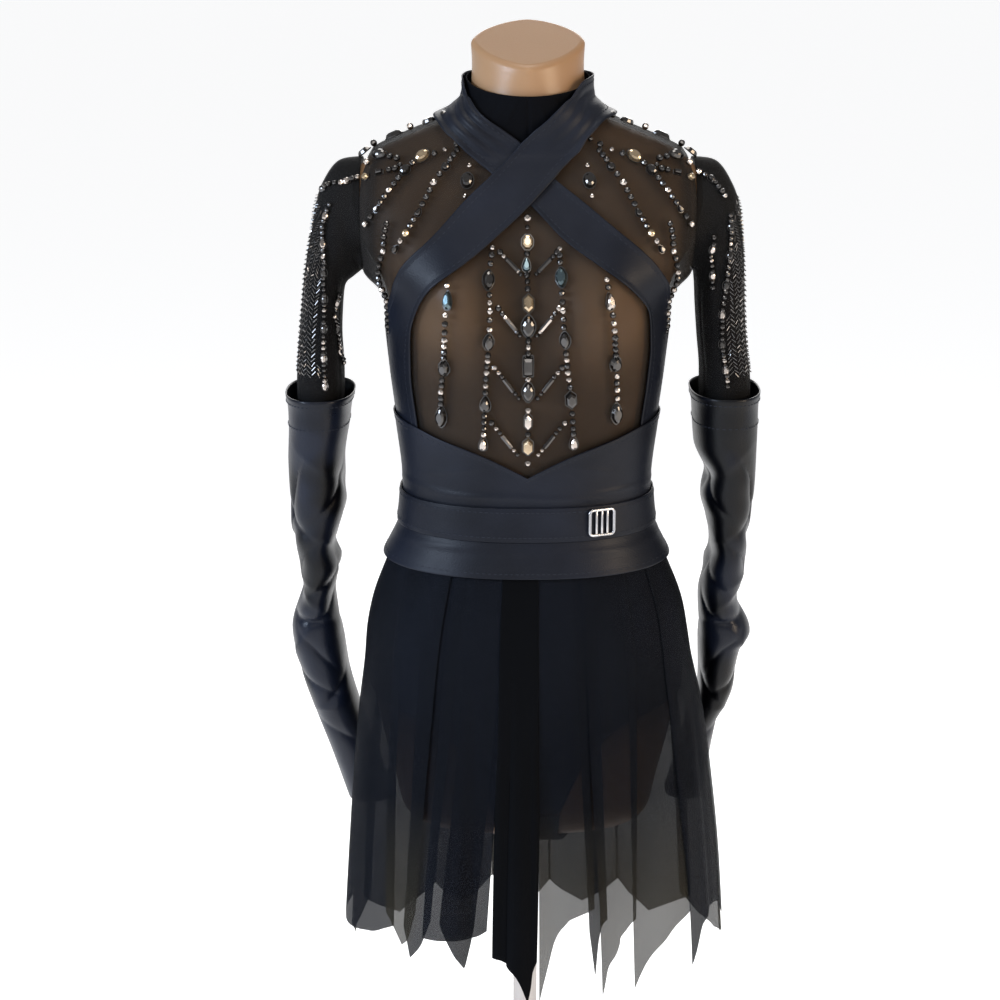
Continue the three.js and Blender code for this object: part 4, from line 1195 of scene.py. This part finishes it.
gauntletRings = {
    -1: tableOf(gauntletColumns, [
        (112, 172, 236, 9, 122),
        (80, 176, 236, 12, 116),
        (38, 182, 238, 17, 104),
        (-1, 181, 238, 21, 97),
        (-35, 190, 238, 26, 94),
        (-50, 194, 234, 29, 93),
        (-74, 189, 229, 34, 92),
        (-89, 193, 227, 38, 90),
        (-106, 196, 231, 42, 88),
        (-147, 190, 242, 52, 84),
        (-196, 185, 235, 64, 78),
        (-247, 174, 222, 80, 70),
        (-300, 160, 208, 101, 65),
        (-363, 143, 192, 122, 60),
    ]),
    1: tableOf(gauntletColumns, [
        (114, 163, 228, 9, 122),
        (80, 165, 229, 12, 116),
        (58, 167, 229, 14, 110),
        (26, 179, 229, 18, 102),
        (5, 175, 229, 21, 97),
        (-24, 182, 227, 26, 94),
        (-56, 187, 224, 32, 92),
        (-80, 182, 221, 37, 91),
        (-112, 178, 218, 44, 88),
        (-151, 179, 233, 53, 84),
        (-168, 180, 222, 57, 82),
        (-213, 182, 219, 68, 77),
        (-263, 172, 203, 84, 69),
        (-310, 165, 199, 107, 64),
        (-363, 154, 194, 131, 60),
    ]),
}
sleeveShape = {
    "size": (110, 90), "thickness": 1.0,
    "folds": tableOf(creaseColumns, [
        (306, 0.55, 90, 1.0, 5, 1.6),
        (322, 0.62, 90, 0.9, 4, -1.6),
        (285, 0.60, 90, 0.9, 5, -1.2),
        (262, 0.66, 90, 0.8, 5, 1.4),
        (238, 0.60, 90, 0.8, 5, -1.2),
        (60, 0.60, 90, 1.0, 6, 1.4),
        (95, 0.60, 90, 1.0, 6, -1.2),
    ]),
}
pullColumns = ["turn", "rise", "slope", "depth", "spread", "width"]
gauntletShape = {
    "size": (140, 176), "thickness": 1.2, "power": 2.4, "flare": 2.2, "flareWidth": 0.02,
    "soft": tableOf(pullColumns, [
        (200, 20, 20, 3, 60, 11),
        (320, -40, -26, 4, 60, 11),
        (180, -75, 24, 4, 60, 11),
        (300, -105, 16, 3, 60, 11),
        (60, -60, 20, 4, 60, 11),
        (120, -130, -20, 3, 60, 11),
    ]),
    "sharp": tableOf(pullColumns, [
        (300, 18, -150, 6.0, 20, 13),
        (262, 40, 60, -2.4, 26, 8),
        (300, -22, 40, 6.0, 44, 8),
        (258, -38, 30, -3.6, 30, 9),
        (242, 8, -70, 5.0, 26, 9),
        (284, -56, -60, 5.0, 26, 9),
        (304, -82, 24, -3.6, 34, 9),
        (256, -88, -44, 5.4, 30, 8),
        (272, -110, 54, -3.8, 30, 9),
        (284, -131, 6, 7.0, 46, 6),
        (250, -122, -50, 4.6, 28, 8),
        (294, -156, -70, -4.0, 24, 10),
        (268, -168, 80, 4.2, 24, 9),
        (290, -207, 30, 5.0, 36, 6),
        (254, -216, -54, 4.0, 26, 7),
        (280, -236, -10, -3.0, 34, 9),
        (268, -272, 40, 3.0, 40, 10),
        (90, 30, 40, 4.0, 40, 9),
        (70, -34, -50, 4.4, 40, 8),
        (104, -80, 40, -3.6, 40, 9),
        (84, -124, -20, 5.0, 44, 7),
        (100, -180, 40, 4.0, 40, 9),
        (84, -236, -30, 3.0, 40, 10),
        (0, -60, 40, 2.6, 26, 8),
        (10, -180, -40, 2.6, 26, 8),
        (180, -20, 40, 2.6, 26, 8),
    ]),
}


def ovalPoint(side, inner, outer, middle, depth, power, turn, lift):
    half = (outer - inner) / 2
    centre = (inner + outer) / 2
    axis = half.normalized()
    radius = reach(turn, depth / 2 + lift, half.length + lift, power)
    out = centre + axis * radius * cosine(turn)
    return Vector((side * out.x, middle + radius * sine(turn), out.y))


@functools.lru_cache(maxsize=None)
def armholeReach(turn):
    across, up = sine(turn), cosine(turn)
    middle, height = cut["armholeCentre"]
    near, far = 8.0, 90.0
    for _ in range(20):
        radius = (near + far) / 2
        y = middle + radius * across
        rise = height + radius * up
        half, front, back, power = figureAt(rise)
        bulge = max(0, 1 - (abs(y) / (front if y < 0 else back)) ** power) ** (1 / power)
        isWithin = half * bulge + easeAt(rise) + lifts["bodice"] + 0.5 > cut["armhole"]
        near, far = (radius, far) if isWithin else (near, radius)
    return near


@functools.lru_cache(maxsize=None)
def sleeveSpine(side, turn, lift):
    radius = armholeReach(turn) + lift
    middle, height = cut["armholeCentre"]
    points = [Vector((side * (cut["armhole"] + cut["seam"]), middle + radius * sine(turn),
                      waist + height + radius * cosine(turn)))]
    for ring in sleeveRings[side]:
        points.append(ovalPoint(
            side, Vector((ring["inX"], waist + ring["inRise"])),
            Vector((ring["outX"], waist + ring["outRise"])),
            ring["middle"], ring["depth"], ring["power"], turn, lift))
    return points


def alongPoints(points, part):
    place = clamp(part) * (len(points) - 1)
    i = min(int(place), len(points) - 2)
    t = place - i
    before, after = points[max(i - 1, 0)], points[min(i + 2, len(points) - 1)]
    a, b = points[i], points[i + 1]
    return 0.5 * (2 * a + (b - before) * t + (2 * before - 5 * a + 4 * b - after) * t * t
                  + (3 * a - before - 3 * b + after) * t ** 3)


def sleevePoint(side, u, v, lift):
    turn = 360 * u
    fold = creaseAt(sleeveShape["folds"], turn, v) * ramp(v, 0.1, 0.3)
    return alongPoints(sleeveSpine(side, turn, round(lift + min(fold, 2.0), 3)), v)


gauntletAt = {side: readerOf(rows, "rise", gauntletColumns[1:])
              for side, rows in gauntletRings.items()}


def gauntletPoint(side, u, v, lift):
    rows = gauntletRings[side]
    rise = mix(rows[-1]["rise"], rows[0]["rise"], v)
    turn = 360 * u
    inner, outer, middle, depth = gauntletAt[side](rise)
    pull = 0
    for kind, fall in (("soft", bell), ("sharp", cusp)):
        for crease in gauntletShape[kind]:
            away = turnBetween(turn, crease["turn"])
            height = rise - crease["rise"] - crease["slope"] * away / 90
            pull += (crease["depth"] * bell(away, crease["spread"])
                     * fall(height, crease["width"]))
    flare = gauntletShape["flare"] * bell(1 - v, gauntletShape["flareWidth"])
    point = ovalPoint(side, Vector((inner, waist + rise)), Vector((outer, waist + rise)), middle,
                      depth, gauntletShape["power"], turn, lift + flare)
    heart = Vector((side * (inner + outer) / 2, middle, waist + rise))
    return point + (heart - point).normalized() * pull


for side, sideName in sides.items():
    sleeve = clothPiece(
        sideName + "Sleeve", sleeveShape, functools.partial(sleevePoint, side), sleeveMesh,
        ["sleeve_" + sideName], -sleeveShape["thickness"],
        ring=True)
    gauntletNodes = ["gauntlet_" + sideName + part for part in ("_upper", "_lower")]
    clothPiece(
        sideName + "Gauntlet", gauntletShape, functools.partial(gauntletPoint, side),
        gauntletCloth, gauntletNodes,
        -gauntletShape["thickness"], ring=True)
print("sleeves and gauntlets made")

# ---- beads

beadShape = {
    "gap": 6.6, "round": 6.4, "facets": 12, "crown": 0.34, "table": 0.50, "rim": 1.10,
    "mix": ["hematite", "hematite", "hematite", "jet", "silver"],
}
stoneColumns = ["x", "rise", "length", "width", "kind", "look"]


def stoneOutline(kind, count):
    points = []
    for i in range(count):
        turn = math.tau * (i + 0.5) / count
        x, y = math.cos(turn), math.sin(turn)
        if kind == "navette":
            x *= 1 - 0.35 * y * y
        elif kind == "drop":
            x *= 0.72 - 0.28 * y
        elif kind == "baguette":
            x, y = clamp(1.35 * x, -1, 1), clamp(1.35 * y, -1, 1)
        elif kind == "rhombus":
            size = abs(x) + abs(y)
            x, y = x / size, y / size
        points.append((x, y))
    return points


def addStone(work, place, length, width, kind, look):
    count = {"octagon": 8, "hexagon": 6, "rhombus": 4}.get(kind, beadShape["facets"])
    outline = stoneOutline(kind, count)
    height = beadShape["crown"] * min(length, width) + 0.8
    levels = [
        (beadShape["rim"], 0.0, "setting"), (beadShape["rim"], 0.9, "setting"),
        (0.98, 0.9, look), (0.98, 1.3, look), (0.78, 1.0 + height * 0.75, look),
        (beadShape["table"], 1.0 + height, look),
    ]
    rings = [[
        work.verts.new(place @ Vector((x * share * width / 2, y * share * length / 2, rise)))
        for x, y in outline] for share, rise, _ in levels]
    for low, high, (_, _, name) in zip(rings, rings[1:], levels):
        for face in joinRings(work, low, high):
            face.material_index = stoneNames.index(name)
    for ring in (rings[-1], list(reversed(rings[0]))):
        face = work.faces.new(ring)
        face.material_index = stoneNames.index(look)


def colourFaces(work, first, look):
    work.faces.ensure_lookup_table()
    for face in work.faces[first:]:
        face.material_index = stoneNames.index(look)


def addRoundBead(work, place, size, look):
    shape = place @ Matrix.Translation((0, 0, size * 0.42))
    first = len(work.faces)
    bmesh.ops.create_uvsphere(work, u_segments=8, v_segments=6, radius=size / 2, matrix=shape)
    colourFaces(work, first, look)


def addBugle(work, place, length, size, look):
    shape = place @ Matrix.Translation((0, 0, size * 0.5)) @ Matrix.Rotation(math.pi / 2, 4, "X")
    first = len(work.faces)
    bmesh.ops.create_cone(work, cap_ends=True, segments=6, radius1=size / 2, radius2=size / 2,
                          depth=length, matrix=shape)
    colourFaces(work, first, look)


def placeOn(surface, here, ahead, lift):
    point = surface(*here, lift)
    out = (surface(*here, lift + 1) - point).normalized()
    along = surface(*ahead, lift) - point
    along = (along - out * along.dot(out)).normalized()
    turn = Matrix((along.cross(out), along, out)).transposed().to_4x4()
    return Matrix.Translation(point) @ turn


def layStrand(work, surface, stones, lift, chance):
    for i, stone in enumerate(stones):
        here = (stone["x"], stone["rise"])
        following = stones[min(i + 1, len(stones) - 1)]
        before = stones[max(i - 1, 0)]
        ahead = (here[0] + (before["x"] - following["x"]) * 0.05,
                 here[1] + (before["rise"] - following["rise"]) * 0.05)
        place = placeOn(surface, here, ahead, lift)
        if stone["kind"] == "round":
            addRoundBead(work, place, stone["width"], stone["look"])
        else:
            addStone(work, place, stone["length"], stone["width"], stone["kind"], stone["look"])
        if following is stone:
            continue
        gap = math.dist(here, (following["x"], following["rise"]))
        room = gap - (stone["length"] + following["length"]) / 2
        count = int(room / beadShape["gap"] + 0.35)
        for k in range(count):
            part = (stone["length"] / 2 + room * (k + 0.5) / count) / gap
            spot = (mix(here[0], following["x"], part), mix(here[1], following["rise"], part))
            look = chance.choice(beadShape["mix"])
            addRoundBead(work, placeOn(surface, spot, ahead, lift), beadShape["round"], look)


centreStones = tableOf(stoneColumns, [
    (-1, 292, 8, 8, "round", "silver"),
    (-1, 284, 5, 5, "round", "hematite"),
    (-1, 271, 15, 12, "octagon", "champagne"),
    (-2, 251, 14, 11, "drop", "aurora"),
    (-1, 236, 6, 6, "round", "hematite"),
    (0, 216, 19, 12, "hexagon", "champagne"),
    (0, 195, 22, 14, "navette", "hematite"),
    (0, 176, 7, 7, "round", "silver"),
    (0, 157, 20, 10, "baguette", "hematite"),
    (0, 132, 20, 12, "navette", "hematite"),
    (0, 115, 7, 7, "round", "silver"),
    (0, 103, 18, 9, "hexagon", "silver"),
    (0, 78, 18, 12, "hexagon", "champagne"),
    (0, 62, 7, 7, "round", "silver"),
])
innerRightStones = tableOf(stoneColumns, [
    (-34, 266, 6, 6, "round", "silver"),
    (-38, 238, 20, 12, "navette", "hematite"),
    (-38, 211, 7, 7, "round", "silver"),
    (-38, 182, 18, 11, "navette", "hematite"),
    (-39, 152, 7, 7, "round", "silver"),
    (-40, 120, 16, 14, "drop", "hematite"),
    (-41, 96, 6, 6, "round", "hematite"),
    (-42, 80, 14, 12, "drop", "silver"),
])
innerLeftStones = tableOf(stoneColumns, [
    (29, 265, 6, 6, "round", "silver"),
    (31, 240, 20, 12, "navette", "aurora"),
    (34, 211, 7, 7, "round", "silver"),
    (35, 184, 18, 11, "navette", "hematite"),
    (37, 152, 7, 7, "round", "silver"),
    (40, 124, 18, 12, "hexagon", "hematite"),
    (42, 96, 6, 6, "round", "hematite"),
    (43, 81, 14, 12, "drop", "silver"),
])
outerRightStones = tableOf(stoneColumns, [
    (-74, 233, 6, 6, "round", "silver"),
    (-74, 221, 18, 12, "drop", "aurora"),
    (-76, 186, 7, 7, "round", "silver"),
    (-78, 154, 18, 12, "navette", "hematite"),
    (-80, 130, 7, 7, "round", "silver"),
    (-81, 104, 22, 12, "navette", "hematite"),
])
outerLeftStones = tableOf(stoneColumns, [
    (71, 238, 6, 6, "round", "silver"),
    (74, 220, 17, 12, "drop", "silver"),
    (78, 188, 7, 7, "round", "hematite"),
    (81, 158, 17, 12, "oval", "hematite"),
    (82, 132, 7, 7, "round", "silver"),
    (83, 107, 22, 12, "navette", "hematite"),
])
shoulderStones = {
    "long_ray": tableOf(stoneColumns, [
        (66, 352, 6, 6, "round", "hematite"),
        (77, 337, 9, 8, "oval", "hematite"),
        (88, 322, 8, 8, "round", "silver"),
        (102, 297, 9, 8, "drop", "hematite"),
        (113, 278, 8, 8, "round", "champagne"),
        (123, 264, 9, 8, "drop", "hematite"),
    ]),
    "ring_stone": tableOf(stoneColumns, [
        (55, 338, 5, 5, "round", "silver"),
        (57, 325, 16, 12, "oval", "hematite"),
        (59, 311, 5, 5, "round", "silver"),
    ]),
    "short_ray": tableOf(stoneColumns, [
        (99, 346, 16, 11, "oval", "champagne"),
        (115, 333, 12, 10, "octagon", "hematite"),
        (129, 315, 8, 7, "round", "silver"),
        (141, 299, 8, 7, "drop", "hematite"),
        (150, 285, 8, 7, "round", "silver"),
    ]),
    "arm_line": tableOf(stoneColumns, [
        (150, 337, 7, 7, "round", "silver"),
        (139, 345, 16, 10, "oval", "hematite"),
        (122, 342, 8, 7, "round", "hematite"),
    ]),
}
chevrons = tableOf(["outRise", "outX", "inRise", "inX"], [
    (262, 27, 241, 6),
    (213, 30, 185, 7),
    (157, 32, 124, 7),
    (102, 34, 68, 8),
])


def mirrored(stones, side):
    return [{**stone, "x": side * stone["x"]} for stone in stones]


def finishBeads(name, work, nodes):
    bmesh.ops.scale(work, vec=(mm, mm, mm), verts=work.verts)
    finishPiece(name, work, list(stoneLooks.values()), nodes, smooth=False)


def layArm(work, side, row, chance):  # one arm of a chevron: beads, a bugle and beads
    def spotAt(share):
        return side * mix(row["outX"], row["inX"], share), mix(row["outRise"], row["inRise"], share)

    for share, size in ((0.0, 6.5), (0.17, 5.2), (0.30, 4.8), (0.80, 4.8), (0.93, 4.6)):
        look = chance.choice(beadShape["mix"])
        place = placeOn(onFront, spotAt(share), spotAt(share + 0.05), lifts["beads"])
        addRoundBead(work, place, size, look)
    place = placeOn(onFront, spotAt(0.55), spotAt(0.6), lifts["beads"])
    addBugle(work, place, 15, 4.4, "hematite")


def makeBeads():
    chance = random.Random(7)
    work = bmesh.new()
    layStrand(work, onFront, centreStones, lifts["beads"], chance)
    for row in chevrons:
        for side in (-1, 1):
            layArm(work, side, row, chance)
    finishBeads("centreBeads", work, ["beads_centre"])
    for name, stones in (
        ("inner_right", innerRightStones), ("inner_left", innerLeftStones),
        ("outer_right", outerRightStones), ("outer_left", outerLeftStones),
    ):
        work = bmesh.new()
        layStrand(work, onFront, stones, lifts["beads"], chance)
        finishBeads("strand_" + name, work, ["beads_" + name])
    for name, stones in shoulderStones.items():
        for side, sideName in sides.items():
            work = bmesh.new()
            layStrand(work, onFront, mirrored(stones, side), lifts["beads"], chance)
            label = name + "_" + sideName
            finishBeads("shoulder_" + label, work, ["beads_" + label])


makeBeads()

# Small beads down the side, over the shoulder ridge and onto the sleeve cap.
# In these three tables x is the angle around.
sideBeads = tableOf(stoneColumns, [
    (62, 286, 6, 6, "round", "hematite"),
    (62, 262, 7, 7, "round", "silver"),
    (66, 238, 6, 6, "round", "hematite"),
    (70, 211, 6, 6, "round", "silver"),
    (76, 178, 5, 5, "round", "hematite"),
])
ridgeBeads = tableOf(stoneColumns, [
    (76, 379, 8, 7, "round", "hematite"),
    (84, 373, 15, 8, "oval", "hematite"),
    (87, 366, 7, 7, "round", "silver"),
    (89, 359, 18, 9, "navette", "hematite"),
    (90, 350, 7, 7, "round", "hematite"),
    (91, 343, 15, 9, "oval", "hematite"),
])
linkBeads = tableOf(stoneColumns, [
    (50, 362, 5, 5, "round", "hematite"),
    (58, 352, 5, 5, "round", "silver"),
    (64, 344, 5, 5, "round", "hematite"),
    (68, 337, 5, 5, "round", "hematite"),
])
capLine = tableOf(stoneColumns, [
    (124, 333, 7, 7, "round", "hematite"),
    (139, 330, 15, 9, "rhombus", "hematite"),
    (152, 326, 8, 7, "oval", "champagne"),
])
sleeveTrim = {
    "columns": (268, 342), "rows": (0.28, 0.88), "spacing": 4.6, "pitch": 3.4, "margin": 5,
    "length": 5.2, "size": 1.15, "slant": 38, "crystal": 5.2, "crystalGap": 5.6, "oval": (9, 6.5),
    "mix": ["jet", "jet", "hematite", "jet", "jet", "hematite", "jet", "jet", "jet", "silver"],
}
sleeveLines = {  # places that each line passes, as its turn and its share down the sleeve
    -1: {
        "cap": [(310, 0.02), (309, 0.10), (318, 0.17), (328, 0.24)],
        "long": [(298, 0.20), (290, 0.32), (272, 0.44), (266, 0.58), (264, 0.74), (262, 0.93)],
        "short": [(248, 0.56), (254, 0.68), (232, 0.82), (206, 0.88)],
    },
    1: {
        "cap": [(316, 0.02), (312, 0.08), (306, 0.12), (302, 0.20)],
        "long": [(294, 0.26), (284, 0.36), (274, 0.50), (268, 0.64), (266, 0.76), (268, 0.93)],
        "short": [(264, 0.20), (252, 0.28), (256, 0.42), (260, 0.56)],
    },
}


def onSleeve(side):
    return lambda turn, v, lift: sleevePoint(side, turn / 360, v, lift)


def laySlanted(work, surface, spot, slant, chance):  # one bugle of the herringbone
    turn, v = spot
    place = placeOn(surface, spot, (turn, v + 0.02), -0.4)
    tip = Matrix.Rotation(math.radians(slant + chance.uniform(-12, 12)), 4, "Z")
    sway = Matrix.Rotation(math.radians(chance.uniform(-4, 4)), 4, "Y")
    look = chance.choice(sleeveTrim["mix"])
    addBugle(work, place @ tip @ sway, sleeveTrim["length"], sleeveTrim["size"], look)


def layHerringbone(work, surface, line, chance):  # from the long line to the outer side
    turn, last = sleeveTrim["columns"]
    low, high = sleeveTrim["rows"]
    middle = (low + high) / 2
    edge = smoothCurve([share for _, share in line], [place for place, _ in line])
    length = (surface(turn, low, 0) - surface(turn, high, 0)).length
    count = int(length / sleeveTrim["pitch"])
    way = 1
    while turn < last:
        for k in range(count):
            v = mix(low, high, (k + 0.25 + 0.25 * way) / count)
            spot = (turn + chance.uniform(-0.4, 0.4), v)
            if turn > edge(v) + sleeveTrim["margin"]:
                laySlanted(work, surface, spot, way * sleeveTrim["slant"], chance)
        here = surface(turn, middle, 0)
        while (surface(turn, middle, 0) - here).length < sleeveTrim["spacing"]:
            turn += 0.5
        way = -way


def layCrystals(work, surface, line, chance):
    count = 0
    for first, last in zip(line, line[1:]):
        length = (surface(*last, 0) - surface(*first, 0)).length
        steps = max(1, round(length / sleeveTrim["crystalGap"]))
        for k in range(steps):
            spot = (mix(first[0], last[0], k / steps), mix(first[1], last[1], k / steps))
            place = placeOn(surface, spot, last, 0)
            count += 1
            if count % 5 == 3:
                look = chance.choice(["silver", "hematite"])
                addStone(work, place, *sleeveTrim["oval"], "oval", look)
            else:
                size = sleeveTrim["crystal"] + chance.uniform(-0.6, 0.9)
                addRoundBead(work, place, size, chance.choice(beadShape["mix"]))


def makeSleeveTrim(side, sideName):
    chance = random.Random(20 + side)
    surface = onSleeve(side)
    work = bmesh.new()
    layHerringbone(work, surface, sleeveLines[side]["long"], chance)
    finishBeads("herringbone_" + sideName, work, [])
    work = bmesh.new()
    for line in sleeveLines[side].values():
        layCrystals(work, surface, line, chance)
    finishBeads("crystals_" + sideName, work, [])


def makeShoulderTrim(side, sideName):
    chance = random.Random(40 + side)
    work = bmesh.new()
    for stones in (sideBeads, ridgeBeads, linkBeads):
        layStrand(work, onBodice, mirrored(stones, side), lifts["beads"], chance)
    layStrand(work, onFront, mirrored(capLine, side), lifts["beads"], chance)
    finishBeads("shoulderTrim_" + sideName, work, [])


for side, sideName in sides.items():
    makeSleeveTrim(side, sideName)
    makeShoulderTrim(side, sideName)
print("beads made")

# ---- topstitching

stitch = {
    "length": 3.0, "width": 0.75, "height": 0.55, "pitch": 4.6, "steps": 240,
    "onCoated": 1.25, "onBelt": 1.85, "onGauntlet": 0.05,
}


def sewLine(work, surface, path, lift):  # path gives a place for each share of the way
    steps = stitch["steps"]
    spots = [path(k / steps) for k in range(steps + 1)]
    points = [surface(*spot, lift) for spot in spots]
    walked, due = 0.0, 0.0
    for k in range(steps):
        run = (points[k + 1] - points[k]).length
        walked += run
        if walked < due or run < 0.01:
            continue
        due = walked + stitch["pitch"]
        shape = placeOn(surface, spots[k], spots[k + 1], lift) @ Matrix.Diagonal(
            (stitch["width"], stitch["length"], stitch["height"], 1))
        bmesh.ops.create_cube(work, size=1, matrix=shape)


def levelAt(v):
    return lambda share: (share, v)


def sewPiece(name, lines):
    work = bmesh.new()
    for surface, path, lift in lines:
        sewLine(work, surface, path, lift)
    bmesh.ops.scale(work, vec=(mm, mm, mm), verts=work.verts)
    finishPiece(name, work, [threadLook], smooth=False)


def sewDress():
    coated, onBelt = stitch["onCoated"], lifts["belt"] + stitch["onBelt"]
    sewPiece("beltStitching", [(beltPoint, levelAt(v), onBelt) for v in (0.14, 0.87)])
    sewPiece("basqueStitching", [(basquePoint, levelAt(0.13), coated)])
    sewPiece("yokeStitching", [(yokePoint, levelAt(0.93), lifts["yoke"] + coated)])
    sewPiece("bandStitching", [
        (surface, lambda t, u=u: (u, mix(0.02, 0.98, t)), lifts["band"] + coated)
        for surface in (overBandPoint, underBandPoint) for u in (0.13, 0.87)
    ])
    for side, sideName in sides.items():
        surface = functools.partial(gauntletPoint, side)
        sewPiece("gauntletStitching_" + sideName, [
            (surface, levelAt(v), stitch["onGauntlet"]) for v in (0.985, 0.935)])


sewDress()
print("stitching made")

bpy.context.view_layer.update()
